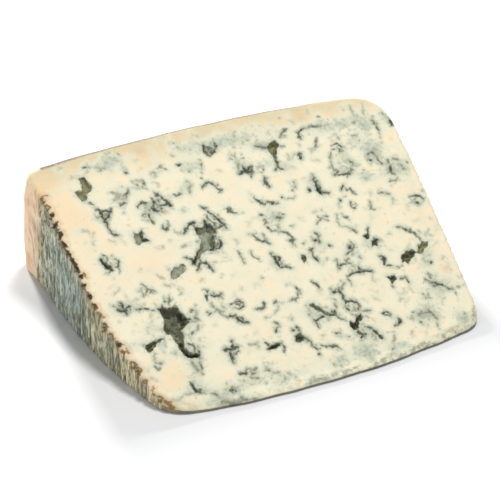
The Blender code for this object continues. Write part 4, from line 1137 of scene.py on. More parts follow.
class Rind:
    """The side of the wedge: columns from the lower cut face to the upper one."""

    def __init__(self):
        self.point, self.side = plan_points()
        ahead = np.roll(self.point, -1, axis=0) - np.roll(self.point, 1, axis=0)
        ahead /= np.linalg.norm(ahead, axis=1)[:, None]
        self.outward = np.stack([-ahead[:, 1], ahead[:, 0]], axis=1)
        corner = np.array((left_flat(RADIUS), RADIUS))
        from_lip = np.linalg.norm(self.point - corner, axis=1)
        at_lip = np.exp(-from_lip / LIP_EDGE_REACH)
        at_nose = 1.0 - smoothstep(NOSE_EDGE_FULL, NOSE_EDGE_END, self.point[:, 1])
        self.edge = EDGE + (EDGE_AT_LIP - EDGE) * at_lip + (EDGE_AT_NOSE - EDGE) * at_nose
        every = np.arange(len(self.point))
        top = self.on_plan(every, np.ones(len(every)))
        self.height = np.maximum(plane_height(top[:, 1]), NOSE_THICKNESS)
        self.below = np.minimum(EDGE_BELOW, MOST_BELOW * self.height)
        self.above = np.minimum(self.edge, MOST_ABOVE * self.height)
        self.first = self.below / self.height
        self.last = 1.0 - self.above / self.height
        self.measure(every)

    def measure(self, every):
        """Lengths of the three stretches of each column."""
        zero = np.zeros(len(every))
        foot = self.at(every, zero, self.below)
        low = self.at(every, self.first, zero)
        high = self.at(every, self.last, zero)
        corner = self.at(every, zero + 1.0, zero)
        rim = self.on_upper_face(every, self.edge)
        self.low_length = CURVE_SHARE * 2.0 * np.linalg.norm(low - foot, axis=1)
        self.mid_length = np.linalg.norm(high - low, axis=1)
        self.top_length = CURVE_SHARE * (np.linalg.norm(corner - high, axis=1)
                                         + np.linalg.norm(rim - corner, axis=1))
        self.length = self.low_length + self.mid_length + self.top_length

    def on_plan(self, which, turn):
        """Place on the wheel's plan at a share of the sector's angle."""
        place = self.point[which].copy()
        side = self.side[which]
        upright = 1.0 / np.cos(ANGLE * turn) - 1.0
        up = place[:, 1] * (1.0 + upright * lean(place[:, 1]))
        for flat, line in ((LEFT, left_flat), (RIGHT, right_flat)):
            on_it = side == flat
            place[on_it, 0] = line(up[on_it])
            place[on_it, 1] = up[on_it]
        near_rim = np.exp(-(RADIUS - place[:, 1]) / LIP_REACH)
        near_lip = np.maximum(0.0, 1.0 - np.maximum(0.0, place[:, 0]) / LIP_WIDTH)
        place[:, 0] -= LIP_GROWTH * near_rim * near_lip * turn
        return place

    def placed(self, which, turn, inset):
        """Plan place moved in by the grooves, the relief and the inset."""
        plan = self.on_plan(which, turn)
        angle = ANGLE * turn
        solid = np.column_stack([plan[:, 0], plan[:, 1] * np.cos(angle), plan[:, 1] * np.sin(angle)])
        rise = RELIEF * np.array([noise.noise(Vector(p)) for p in solid / RELIEF_SIZE])
        base = self.point[which, 1]
        sunk = np.where(self.side[which] == LEFT, groove_depth(base, LEFT_GROOVES), 0.0)
        sunk = np.where(self.side[which] == RIGHT, groove_depth(base, RIGHT_GROOVES), sunk)
        return plan + self.outward[which] * (rise - sunk - inset)[:, None]

    def at(self, which, turn, inset):
        """Points of the rind at a share of the sector's angle."""
        plan = self.placed(which, turn, inset)
        angle = ANGLE * turn
        height = self.height[which] * np.sin(angle) / math.sin(ANGLE)
        return np.column_stack([plan[:, 0], plan[:, 1] * np.cos(angle), height])

    def on_upper_face(self, which, inset):
        """Points of the upper cut face at a distance in from the rind."""
        return raised(self.placed(which, np.ones(len(which)), inset))

    def surface(self, which, share):
        """Points at a share of the columns' length, and how far over the top edge they are."""
        run = share * self.length[which]
        zero = np.zeros(len(which))
        low = np.clip(run / self.low_length[which], 0.0, 1.0)[:, None]
        mid = np.clip((run - self.low_length[which]) / self.mid_length[which], 0.0, 1.0)
        over = (run - self.low_length[which] - self.mid_length[which]) / self.top_length[which]
        over = np.clip(over, 0.0, 1.0)
        turn = self.first[which] + (self.last[which] - self.first[which]) * mid
        foot = self.at(which, zero, self.below[which])
        heel = self.at(which, zero, zero)
        side = self.at(which, turn, zero)
        corner = self.at(which, zero + 1.0, zero)
        rim = self.on_upper_face(which, self.edge[which])
        lower = pulled(foot, heel, side, low)
        part = over[:, None]
        upper = pulled(side, corner, rim, part)
        points = np.where(low < 1.0, lower, np.where(part > 0.0, upper, side))
        return points, over


# ------------------------------------------------------------------ the dense piece

SIDE_STEPS = {LEFT: LEFT_STEP, RIGHT: HIDDEN_STEP, WALL: HIDDEN_STEP, NOSE: NOSE_STEP,
              CORNER: CORNER_STEP}
LEAST_LEVELS = 4
ROW_HEIGHT = math.sqrt(0.75)   # between the rows of a grid, in steps
GRID_SHAKE = 0.14              # how far a grid's points are off their places, in steps
AT_ONCE = 4000                 # points whose distances are worked out together
MERGE_GAP = 1e-7
INSIDE_ONLY = 1                # the kind of result asked of the triangulation
PIT_RIM = 0.4                  # how far inside a pit's mouth its wall's middle is,
PIT_RIM_REACH = 1.0            # and how far from there the fine spacing reaches

# Grids of the cut faces.  (step, seed, whether for the fine parts, how far inside the ring)
UPPER_GRIDS = ((VEIN_STEP, 1, True, 0.2), (FACE_STEP, 2, False, 0.35))
UNDER_GRIDS = ((UNDER_FINE_STEP, 4, True, 0.4), (UNDER_STEP, 3, False, 0.9))

# Relief of the faces; each fades out over its last stretch to the rim
RELIEF_FADE = 1.2
WAVE_DEPTH = 0.3
WAVE_SIZE = 9.0
WAVE_SEED = 3.0
NOTCH_DEPTH = 0.5
NOTCH_SLOPE = (0.3, -0.4)      # from outside a notch's edge to where it is full
NOTCH_FADE = 0.5
UNDER_MOST = 0.4               # most of the wedge's height that a pit below takes up
FIBRE_DEPTH = 0.28
FIBRE_SIZE = (0.55, 4.5)       # along the rind and up it
FIBRE_SLICE = 3.0              # where the noise that makes them is cut
FIBRE_FADE = 0.8
SIDE_NOTCH_DEPTH = 0.4
SIDE_NOTCH_SLOPE = (0.35, -0.45)
SIDE_NOTCH_END = (1.0, 0.75)   # where over the top edge the side's notches start and are full

# Where the rind ends
RIND_END = 0.5                 # share of the top edge's curve that still is rind,
RIND_FADE = 0.2                # and how much of the curve to both sides it takes to end
FRONT = 15.0                   # how far up from the tip the front corners reach
LEFT_FRONT = 40.0              # and how far across the left one is
FRONT_RIND = (4.5, 8.5)        # up from the tip, where that corner's rind starts
NOSE_LEAST = 0.4               # how mouldy the front is at its left end,
NOSE_FADE = (50.0, 72.0)       # and where across it gets to be so in full

# The bare outer wall and the brown brim, a line along its top.  Pairs: from none to full
WALL_FROM = 80.0               # away from the axis
WALL_LEFT = (-5.0, 14.0)       # across, at its left end
WALL_RIGHT = (WIDTH, WIDTH - 22.0)
BRIM_CORNER = 30.0             # the far left corner is left of here,
BRIM_HALF = 50.0               # and further than this from the axis
BRIM_START = (4.0, 9.0)        # across, in that corner
BRIM_LOW = (0.12, 0.25)        # over the top edge, as a share of its curve
BRIM_HIGH = (1.0, 0.97)
BRIM_FADE = (115.0, 80.0)      # across, towards the right,
BRIM_LEAST = 0.3               # where this much of it is left
SPOT_SHARE = 0.55              # how wide the tan spots are against the sizes in their table


def waves(points, size, seed=0.0):
    """Coarse noise of 0 to 1 at each point."""
    return np.clip(0.5 + 0.5 * ripple(points, size, 2, seed), 0.0, 1.0)


def hex_grid(low, high, step, seed):
    """Slightly shaken points of a triangular grid over a box."""
    rows = np.arange(low[1], high[1], step * ROW_HEIGHT)
    columns = np.arange(low[0], high[0], step)
    across, up = np.meshgrid(columns, rows)
    across = across + (np.arange(len(rows)) % 2)[:, None] * 0.5 * step
    points = np.stack([across.ravel(), up.ravel()], axis=1)
    shake = np.random.default_rng(seed).uniform(-GRID_SHAKE, GRID_SHAKE, points.shape)
    return points + shake * step


def nearest(points, ring):
    """Index of the ring's nearest point and the distance to it, for each point."""
    index = np.empty(len(points), int)
    away = np.empty(len(points))
    for start in range(0, len(points), AT_ONCE):
        part = slice(start, start + AT_ONCE)
        gaps = np.linalg.norm(points[part, None] - ring[None], axis=2)
        index[part] = gaps.argmin(1)
        away[part] = gaps.min(1)
    return index, away


def inside(points, ring, margin):
    """Those points that lie inside a clockwise ring by at least the margin."""
    index, away = nearest(points, ring)
    ahead = np.roll(ring, -1, axis=0) - np.roll(ring, 1, axis=0)
    outward = np.stack([-ahead[:, 1], ahead[:, 0]], axis=1)
    beyond = ((points - ring[index]) * outward[index]).sum(1) > 0
    return points[~beyond & (away > margin)]


def triangles(points, edges):
    """Triangles between points of a plane, inside the closed chain of edges."""
    found = delaunay_2d_cdt([Vector(p) for p in points], edges, [], INSIDE_ONLY, MERGE_GAP)
    source = [origin[0] for origin in found[3]]
    return np.array([[source[corner] for corner in face] for face in found[2]])


def linked(indices):
    """Edges from each index to the next."""
    return list(zip(indices, indices[1:]))


def closed(count):
    """Edges of a closed chain of that many points."""
    return [(index, (index + 1) % count) for index in range(count)]


def rind_mesh(rind):
    """Points of the rind, its triangles, each point's column, and the columns' two ends."""
    step = np.array([SIDE_STEPS[side] for side in rind.side])
    levels = np.maximum(LEAST_LEVELS, np.ceil(rind.length / step).astype(int))
    start = np.concatenate(([0], np.cumsum(levels + 1)))[:-1]
    which = np.repeat(np.arange(len(rind.point)), levels + 1)
    share = (np.arange(len(which)) - start[which]) / levels[which]
    points, over = rind.surface(which, share)

    # Laid out flat, with the first column once more at the far end
    count = len(which)
    spacing = np.linalg.norm(np.roll(rind.point, -1, axis=0) - rind.point, axis=1)
    place = np.concatenate(([0.0], np.cumsum(spacing)))
    flat = np.stack([place[which], share * rind.length[which]], axis=1)
    again = np.arange(levels[0] + 1)
    flat = np.concatenate([flat, np.stack([np.full(len(again), place[-1]), flat[again, 1]], axis=1)])
    edges = linked(list(start) + [count]) + linked(list(start + levels) + [count + levels[0]])
    edges += linked(range(levels[0] + 1)) + linked(range(count, count + levels[0] + 1))
    faces = triangles(flat, edges)
    faces = np.where(faces >= count, faces - count, faces)[:, ::-1]
    return points, faces, which, over, start, start + levels


def near_marks(fields, margin):
    """Where a cut face needs its fine points: at its veins and at the walls of its pits."""
    return (fields.gap < margin) | (np.abs(fields.pit_gap + PIT_RIM) < PIT_RIM_REACH)


def upper_points(low, high, step, seed, fine):
    """Grid points of the upper face where the marks or the left rim want fine points, or don't."""
    points = hex_grid(low, high, step, seed)
    wants_fine = near_marks(upper_fields(points), VEIN_MARGIN)
    wants_fine |= points[:, 0] < left_flat(points[:, 1]) + EDGE_MARGIN
    return points[wants_fine == fine]


def under_points(low, high, step, seed, fine):
    """Grid points of the lower face where the marks want fine points, or where they don't."""
    points = hex_grid(low, high, step, seed)
    return points[near_marks(lower_fields(points), UNDER_MARGIN) == fine]


def cut_face(ring, points_of, grids):
    """Points of a cut face inside its ring, and its triangles over ring and points."""
    inner = []
    for step, seed, fine, margin in grids:
        points = points_of(ring.min(0), ring.max(0), step, seed, fine)
        inner.append(inside(points, ring, margin))
    face = np.concatenate(inner)
    return face, triangles(np.concatenate([ring, face]), closed(len(ring)))


class Wedge:
    """Places, triangles and fields of the whole dense piece."""

    def __init__(self):
        self.rind = Rind()
        side, side_faces, self.column, self.over, feet, rims = rind_mesh(self.rind)
        ring = np.stack([side[rims, 0], side[rims, 1] / math.cos(ANGLE)], axis=1)
        foot = side[feet, :2]
        upper, upper_faces = cut_face(ring, upper_points, UPPER_GRIDS)
        lower, lower_faces = cut_face(foot, under_points, UNDER_GRIDS)

        first = len(side)
        second = first + len(upper)
        self.counts = (len(side), len(upper), len(lower))
        self.on_side = slice(0, first)
        self.on_upper = slice(first, second)
        self.on_lower = slice(second, None)
        upper_index = np.concatenate([rims, first + np.arange(len(upper))])
        lower_index = np.concatenate([feet, second + np.arange(len(lower))])
        self.faces = np.concatenate([side_faces, upper_index[upper_faces],
                                     lower_index[lower_faces[:, ::-1]]])
        flat = np.column_stack([lower, np.zeros(len(lower))])
        self.places = np.concatenate([side, raised(upper), flat])
        self.shape_upper(upper, ring)
        self.shape_lower(lower, foot)
        self.shape_side(side)
        self.gather(side, upper, lower)

    def shape_upper(self, upper, ring):
        """Sink the pits, the veins and the notches of the rim into the upper cut face."""
        self.fields = upper_fields(upper)
        self.rim = rim_fields(upper)
        away = nearest(upper, ring)[1]
        wave = waves(self.places[self.on_upper], WAVE_SIZE, WAVE_SEED)
        notch = smoothstep(*NOTCH_SLOPE, self.rim.gap) * self.rim.ink
        sunk = self.fields.depth + self.fields.vein_depth() + WAVE_DEPTH * wave
        sunk = sunk * smoothstep(0.0, RELIEF_FADE, away)
        sunk = sunk + NOTCH_DEPTH * notch * smoothstep(0.0, NOTCH_FADE, away)
        self.places[self.on_upper] -= sunk[:, None] * CUT_FACE_NORMAL

    def shape_lower(self, lower, ring):
        """Sink the pits and veins into the lower cut face; the rest of it stays flat."""
        self.under = lower_fields(lower)
        away = nearest(lower, ring)[1]
        sunk = (self.under.depth + self.under.vein_depth()) * smoothstep(0.0, RELIEF_FADE, away)
        self.places[self.on_lower, 2] += np.minimum(sunk, UNDER_MOST * plane_height(lower[:, 1]))

    def shape_side(self, side):
        """Sink fine upright fibres into the left flat, and the notches of the rim beside it."""
        sides = self.rind.side[self.column]
        base = self.rind.point[self.column, 1]
        outward = self.rind.outward[self.column]
        along_rind, up_rind = FIBRE_SIZE
        cut = np.full(len(base), FIBRE_SLICE)
        stretched = np.column_stack([base / along_rind, side[:, 2] / up_rind, cut])
        grip = (sides == LEFT) * (1.0 - self.over)
        sunk = FIBRE_DEPTH * waves(stretched, 1.0) * grip * smoothstep(0.0, FIBRE_FADE, side[:, 2])

        self.seen = on_cut_face(pixels_of(side))
        self.side_rim = rim_fields(self.seen)
        left = (sides == LEFT) | (base < LEFT_LOW) | (side[:, 0] < ROUND_BACK_LEFT)
        left &= outward @ camera_axes()[3][:2] > 0.0
        self.side_rim.gap = np.where(left, self.side_rim.gap, FAR)
        notch = smoothstep(*SIDE_NOTCH_SLOPE, self.side_rim.gap) * self.side_rim.ink
        notch = notch * smoothstep(*SIDE_NOTCH_END, self.over)
        inward = np.column_stack([-outward, np.zeros(len(base))])
        self.places[self.on_side] += inward * (sunk + SIDE_NOTCH_DEPTH * notch)[:, None]

    def joined(self, *values):
        """A value for every point, from those of the side, the upper and the lower face."""
        return np.concatenate([value * np.ones(count) for value, count in zip(values, self.counts)])

    def gather(self, side, upper, lower):
        """Everything the material reads, at every point."""
        sides = self.rind.side[self.column]
        base = self.rind.point[self.column, 1]
        front = (sides == NOSE) | ((sides == CORNER) & (side[:, 1] < FRONT))
        flat = np.stack([side[:, 0], side[:, 1] / math.cos(ANGLE)], axis=1)
        marked = np.where(front[:, None], self.seen, flat)
        marks = np.concatenate([marked, upper, lower])
        around = upper_fields(marked)
        face = self.fields
        under = self.under
        nose_share = NOSE_LEAST + (1.0 - NOSE_LEAST) * smoothstep(*NOSE_FADE, side[:, 0])
        self.values = {
            "vein_gap": self.joined(around.gap, face.gap, under.gap),
            "vein_ink": self.joined(around.ink, face.ink, under.ink),
            "haze": self.joined(around.haze, face.haze, under.haze),
            "pit": self.joined(0.0, face.depth, under.depth),
            "mouth": self.joined(FAR, face.pit_gap, under.pit_gap),
            "olive": self.joined(around.olive, face.olive, under.olive),
            "rind": self.joined(self.rind_share(side, front), 0.0, 0.0),
            "blot": self.joined(self.side_rim.gap, self.rim.gap, FAR),
            "blot_ink": self.joined(self.side_rim.ink, self.rim.ink, 0.0),
            "pale": self.joined(around.pale, face.pale, under.pale),
            "nose": self.joined(front * nose_share, 0.0, 0.0),
            "over": self.joined(self.over, 1.0, 0.0),
            "wall": self.joined(self.wall_share(side), 0.0, 0.0),
            "base": self.joined(base, upper[:, 1], lower[:, 1]),
            "tan": self.tan_share(marks),
            "peach": zone(marks, PEACH),
            "groove": self.joined(groove_depth(base, LEFT_GROOVES) / GROOVE_DEPTH, 0.0, 0.0),
            "brim": self.joined(self.brim_share(side), 0.0, 0.0),
        }

    def rind_share(self, side, front):
        """Where the side is rind: up to its top edge, and not on the narrow front."""
        sides = self.rind.side[self.column]
        base = self.rind.point[self.column, 1]
        share = smoothstep(RIND_END + RIND_FADE, RIND_END - RIND_FADE, self.over)
        left_front = (sides == CORNER) & (side[:, 0] < LEFT_FRONT) & (side[:, 1] < FRONT)
        return np.where(left_front, smoothstep(*FRONT_RIND, base) * share, np.where(front, 0.0, share))

    def wall_share(self, side):
        """Where the side is the outer wall, less towards its corners."""
        inward = smoothstep(*WALL_LEFT, side[:, 0]) * smoothstep(*WALL_RIGHT, side[:, 0])
        return (side[:, 1] > WALL_FROM) * inward

    def brim_share(self, side):
        """The brown line of rind along the top of the outer wall, fainter to the right."""
        sides = self.rind.side[self.column]
        corner = (sides == CORNER) & (side[:, 0] < BRIM_CORNER) & (side[:, 1] > BRIM_HALF)
        line = (sides == WALL) * 1.0 + corner * smoothstep(*BRIM_START, side[:, 0])
        line = line * smoothstep(*BRIM_LOW, self.over) * smoothstep(*BRIM_HIGH, self.over)
        fade = BRIM_LEAST + (1.0 - BRIM_LEAST) * smoothstep(*BRIM_FADE, side[:, 0])
        return np.minimum(1.0, line) * fade

    def tan_share(self, marks):
        """The small tan spots; the lower cut face has none."""
        tan = np.zeros(len(marks))
        for x, y, size, strength in SPOTS.values():
            off = np.linalg.norm(marks - shown_at(x, y), axis=1) / (SPOT_SHARE * size * PIXEL)
            tan = np.maximum(tan, strength * np.exp(-off ** 2))
        tan[self.on_lower] = 0.0
        return tan


# ------------------------------------------------------------------ paints

# Light that falls on each part, by which a paint's colour is divided
FACE_LIGHT = 1.2               # on the upper cut face
SIDE_LIGHT = 0.72              # on the sides away from the key light
NOSE_LIGHT = 1.08              # on the narrow front
PINK_LIGHT = 0.98              # on the bare far corner
WALL_LIGHT = 1.3               # on the outer wall, which the photo hides
PALEST = 0.95                  # the most that a paint may reflect


def paint(red, green, blue, light=FACE_LIGHT):
    """Linear colour of a surface that looks like this sRGB colour under that light."""
    linear = []
    for value in (red, green, blue):
        value /= 255.0
        value = value / 12.92 if value <= 0.04045 else ((value + 0.055) / 1.055) ** 2.4
        linear.append(min(PALEST, value / light))
    return (*linear, 1.0)


CREAM = paint(244, 234, 205)
CREAM_WARM = paint(246, 231, 197)
CREAM_COOL = paint(240, 232, 202)
CREAM_PEACH = paint(247, 211, 160)
BEIGE = paint(222, 203, 160)
HAZE_PALE = paint(230, 229, 203)
HAZE = paint(206, 206, 178)
HAZE_COOL = paint(192, 200, 184)
HAZE_DARK = paint(140, 147, 124)
VEIN = paint(102, 106, 80)
VEIN_DARK = paint(46, 50, 30)
PIT = paint(140, 146, 122)
PIT_DARK = paint(92, 97, 74)
PIT_OLIVE = paint(142, 138, 90)
PIT_PALE = paint(178, 180, 156)
PIT_DEEP = paint(66, 71, 46)
TAN = paint(200, 156, 100)
RIND_GREY = paint(174, 174, 152, SIDE_LIGHT)
RIND_OLIVE = paint(172, 164, 132, SIDE_LIGHT)
RIND_BLUE = paint(132, 146, 142, SIDE_LIGHT)
RIND_CREAM = paint(200, 194, 164, SIDE_LIGHT)
RIND_WARM = paint(212, 196, 162, SIDE_LIGHT)
RIND_DARK = paint(72, 76, 60, SIDE_LIGHT)
RIND_PINK = paint(236, 206, 176, PINK_LIGHT)
RIND_TAN = paint(222, 184, 150, PINK_LIGHT)
RIND_BROWN = paint(92, 76, 54)
WALL_PINK = paint(232, 202, 172, WALL_LIGHT)
WALL_TAN = paint(212, 178, 144, WALL_LIGHT)
WALL_GREY = paint(172, 174, 154, WALL_LIGHT)
WALL_DARK = paint(112, 108, 86, WALL_LIGHT)
NOSE_PALE = paint(208, 207, 182, NOSE_LIGHT)
NOSE_MOULD = paint(136, 140, 116, NOSE_LIGHT)
# painted shade: the contact shadow along the foot of the narrow front
NOSE_CONTACT_SHADE = paint(70, 70, 64, NOSE_LIGHT)
BLOT = paint(128, 104, 62)
BLOT_TAN = paint(150, 112, 66)
BLOT_DARK = paint(54, 48, 26)
FLOOR_PAINT = (0.7, 0.7, 0.7, 1.0)

# How much finer than its size a noise is along each axis
EVEN = (1.0, 1.0, 1.0)
UPRIGHT = (5.5, 5.5, 1.0)
BROAD = (1.6, 1.6, 1.0)
LYING = (0.7, 0.7, 1.3)

# Noises.  name: (size in millimetres, detail, roughness, how much finer, shift)
PASTE_NOISES = {
    "clouds": (9.0, 3.0, 0.55, EVEN, 0.0),
    "curds": (3.2, 4.0, 0.55, EVEN, 0.3),
    "ragged": (1.5, 4.0, 0.65, EVEN, 0.5),
    "frayed": (0.6, 3.0, 0.6, EVEN, 0.6),
    "blotch": (2.4, 4.0, 0.62, EVEN, 0.8),
    "billow": (4.6, 4.0, 0.5, EVEN, 5.2),
    "speck": (1.4, 3.0, 0.6, EVEN, 1.1),
    "dust": (3.4, 3.0, 0.6, EVEN, 4.1),
    "floor": (2.2, 3.0, 0.55, EVEN, 1.7),
}
RIND_NOISES = {
    "streaks": (8.0, 4.0, 0.6, UPRIGHT, 0.2),
    "fine": (3.0, 4.0, 0.65, UPRIGHT, 0.9),
    "tone": (16.0, 2.0, 0.5, BROAD, 4.4),
    "patches": (8.0, 3.0, 0.5, EVEN, 1.4),
}
EDGE_NOISES = {
    "mottle": (2.2, 4.0, 0.65, LYING, 2.1),
    "crumble": (1.1, 3.0, 0.6, EVEN, 6.2),
    "ragged": (1.2, 3.0, 0.6, EVEN, 2.4),
    "grain": (0.9, 4.0, 0.6, EVEN, 3.0),
    "swell": (4.0, 3.0, 0.5, EVEN, 3.3),
}

# Layers of colour.  (what steers it, value where it starts, where it is full, least, most, colour)
CREAM_LAYERS = (
    ("clouds", 0.4, 0.62, 0.0, 1.0, CREAM),
    ("curds", 0.42, 0.66, 0.0, 0.8, CREAM_COOL),
)
HAZE_LAYERS = (
    ("back", 86.0, 101.0, 0.0, 0.85, BEIGE),
    ("broad haze", -0.05, 0.45, 0.0, 0.85, HAZE_PALE),
    ("broad haze", 0.25, 1.0, 0.0, 0.85, HAZE),
    ("blotchy haze", 0.5, 1.1, 0.0, 0.7, HAZE_COOL),
    ("crumbs", 0.64, 0.8, 0.0, 0.42, HAZE_DARK),
    ("dust", 0.58, 0.74, 0.0, 0.45, HAZE),
)
FLOOR_LAYERS = (
    ("pale", 0.0, -1.0, 0.0, 1.0, PIT_DEEP),
    ("ragged", 0.52, 0.68, 0.0, 0.45, PIT_PALE),
    ("frayed", 0.48, 0.34, 0.0, 0.5, PIT_DEEP),
)
RIND_LAYERS = (
    ("base", 38.0, 6.0, 0.0, 0.8, RIND_WARM),
    ("tone", 0.47, 0.6, 0.0, 0.4, RIND_DARK),
    ("streaks", 0.52, 0.64, 0.0, 0.6, RIND_CREAM),
    ("streaks", 0.5, 0.4, 0.0, 0.75, RIND_DARK),
    ("fine", 0.53, 0.4, 0.0, 0.75, RIND_DARK),
    ("fine", 0.56, 0.66, 0.0, 0.45, RIND_CREAM),
)
BARE_LAYERS = (
    ("patches", 0.4, 0.62, 0.0, 1.0, RIND_TAN),
    ("streaks", 0.54, 0.7, 0.0, 0.4, RIND_OLIVE),
)
WALL_LAYERS = (
    ("patches", 0.38, 0.62, 0.0, 1.0, WALL_TAN),
    ("tone", 0.42, 0.6, 0.0, 0.75, WALL_GREY),
    ("streaks", 0.48, 0.34, 0.0, 0.6, WALL_DARK),
    ("fine", 0.46, 0.34, 0.0, 0.35, WALL_DARK),
)

# How strongly a part shows.  (value where it starts, where it is full) or with (least, most)
GREY_OR_OLIVE = (0.38, 0.62)
PIT_INSIDE = (0.1, 0.6)
PIT_LINE = (0.38, 0.08)
PIT_LINE_GAPS = (0.38, 0.6, 0.15, 0.8)
INK_GAPS = (0.3, 0.6, 0.6, 1.15)
DARK_INK = (0.35, 0.85)
HALO = (1.3, -0.15)
HALO_GAPS = (0.3, 0.6, 0.35, 0.8)
CORE = (0.4, -0.25)
CORE_INK = (0.2, 0.7, 0.12, 1.0)
CORE_GAPS = (0.3, 0.5, 0.55, 1.0)
BLUE_FROM = (42.0, 54.0)
BLUE_TO = (88.0, 74.0)
BLUE_PATCHES = (0.3, 0.55, 0.4, 1.0)
BARE_FROM = (83.0, 94.0)
WALL_SHOWN = (0.3, 0.7)
NOSE_BAND = (0.97, 0.6)
NOSE_STREAKS = (0.44, 0.6)
NOSE_CRUMBS = (0.52, 0.64)
# The next two place the painted contact shadow: on the front only, along its lowest part
NOSE_ONLY = (0.1, 0.3)
NOSE_LOW = (0.09, 0.02)
RIND_SHOWN = (0.35, 0.6)
BLOT_INK = (0.3, 0.85)
BLOT_MIDDLE = (-0.35, 0.1)
BRIM_GAPS = (0.25, 0.5, 0.6, 1.0)
BLOT_WARMTH = (2.2, 0.1, 0.0, 0.4)
WARMTH_ON_PASTE = (0.7, 0.3, 0.4, 1.0)
BLOT_SHOWN = (0.3, -0.2, 0.0, 0.95)
ROUGHNESS = (0.35, 0.6, 0.55, 0.85)

# How much noise shakes what it is added to
BACK_SHAKE = 16.0
BROAD_SHAKE = 1.3
BLOTCHY_SHAKE = 1.5
RAGGED_SHAKE = 1.0
FRAYED_SHAKE = 0.6
PIT_SHAKE = 0.5
LINE_SHAKE = 0.6
BARE_SHAKE = 22.0
WALL_SHAKE = 0.9
EDGE_SHAKE = 0.5
NOTCH_SHAKE = 1.1
HAZE_IN_CRUMBS = 0.22          # how much the haze adds to the crumbs
LINE_MIDDLE = -0.25            # the shake at which a pit's dark line is on its mouth

# Shares of single layers
PEACH_SHARE = 0.85
OLIVE_SHARE = 0.9
# share of painted shade in the grooves of the left flat
GROOVE_SHADE_SHARE = 0.35
BAND_SHARE = 0.65
STREAK_SHARE = 0.8
CRUMB_SHARE = 0.6
# how strong the painted contact shadow at the front's foot is
CONTACT_SHADE_SHARE = 0.8

# Surface of the cheese: shine, light that passes through it, and its fine grain
SHINE = 0.35
GLOW_THROUGH = 0.12
GLOW_COLOURS = (1.0, 0.7, 0.4)
GLOW_DEPTH = 1.2
BUMP_STRENGTH = 0.35
BUMP_HEIGHT = 0.35

NOISE_SHIFT = (1.0, 0.7, 1.3)  # how far along each axis a noise's shift moves it
FIRST_COLOUR, SECOND_COLOUR = 6, 7      # those inputs of a mix node


class Paint:
    """A node material that is built up from short calls."""

    def __init__(self, name):
        self.material = bpy.data.materials.new(name)
        self.material.use_nodes = True
        self.tree = self.material.node_tree
        self.shader = self.tree.nodes["Principled BSDF"]
        self.place = self.tree.nodes.new("ShaderNodeTexCoord").outputs["Object"]

    def link(self, value, socket):
        """Connect a socket, or set a plain value."""
        if isinstance(value, bpy.types.NodeSocket):
            self.tree.links.new(value, socket)
        else:
            socket.default_value = value

    def attribute(self, name):
        """The value that the mesh holds under that name."""
        node = self.tree.nodes.new("ShaderNodeAttribute")
        node.attribute_name = name
        return node.outputs["Fac"]

    def maths(self, operation, first, second=0.0):
        """Result of one operation on two values."""
        node = self.tree.nodes.new("ShaderNodeMath")
        node.operation = operation
        self.link(first, node.inputs[0])
        self.link(second, node.inputs[1])
        return node.outputs[0]

    def add(self, first, second):
        """Sum of two values."""
        return self.maths("ADD", first, second)

    def product(self, *values):
        """Product of values."""
        result = values[0]
        for value in values[1:]:
            result = self.maths("MULTIPLY", result, value)
        return result

    def centred(self, value, reach, middle=0.5):
        """The value's distance from its middle, times the reach."""
        return self.maths("MULTIPLY", self.maths("SUBTRACT", value, middle), reach)

    def noise(self, size, detail, roughness, stretch, shift):
        """Noise of 0 to 1 whose blobs have about that size in millimetres."""
        mapping = self.tree.nodes.new("ShaderNodeMapping")
        self.link(self.place, mapping.inputs["Vector"])
        mapping.inputs["Location"].default_value = [shift * part for part in NOISE_SHIFT]
        mapping.inputs["Scale"].default_value = stretch
        node = self.tree.nodes.new("ShaderNodeTexNoise")
        self.link(mapping.outputs[0], node.inputs["Vector"])
        node.inputs["Scale"].default_value = 1.0 / (size * MM)
        node.inputs["Detail"].default_value = detail
        node.inputs["Roughness"].default_value = roughness
        return node.outputs["Fac"]

    def noises(self, table):
        """All noises of a table, by their names."""
        return {name: self.noise(*settings) for name, settings in table.items()}

    def step(self, value, low, high, least=0.0, most=1.0):
        """Smooth step from least to most while the value goes from low to high."""
        node = self.tree.nodes.new("ShaderNodeMapRange")
        node.interpolation_type = "SMOOTHSTEP"
        self.link(value, node.inputs["Value"])
        node.inputs["From Min"].default_value = low
        node.inputs["From Max"].default_value = high
        node.inputs["To Min"].default_value = least
        node.inputs["To Max"].default_value = most
        return node.outputs[0]

    def mix(self, share, first, second):
        """Colour between two colours."""
        node = self.tree.nodes.new("ShaderNodeMix")
        node.data_type = "RGBA"
        self.link(share, node.inputs["Factor"])
        self.link(first, node.inputs[FIRST_COLOUR])
        self.link(second, node.inputs[SECOND_COLOUR])
        return node.outputs[2]

    def layered(self, colour, values, layers):
        """The colour under layers, each as strong as the value that steers it."""
        for value, low, high, least, most, layer in layers:
            colour = self.mix(self.step(values[value], low, high, least, most), colour, layer)
        return colour


def haze_colour(paint_of, values):
    """The paste between its marks: cream with clouds of pale mould and tan spots."""
    base = paint_of.attribute("base")
    haze = paint_of.attribute("haze")
    values["back"] = paint_of.add(base, paint_of.centred(values["clouds"], BACK_SHAKE))
    values["broad haze"] = paint_of.add(haze, paint_of.centred(values["billow"], BROAD_SHAKE))
    values["blotchy haze"] = paint_of.add(haze, paint_of.centred(values["blotch"], BLOTCHY_SHAKE))
    values["crumbs"] = paint_of.add(values["speck"], paint_of.product(haze, HAZE_IN_CRUMBS))
    colour = paint_of.layered(CREAM_WARM, values, CREAM_LAYERS)
    peach = paint_of.product(paint_of.attribute("peach"), PEACH_SHARE)
    colour = paint_of.mix(peach, colour, CREAM_PEACH)
    colour = paint_of.layered(colour, values, HAZE_LAYERS)
    return paint_of.mix(paint_of.attribute("tan"), colour, TAN)


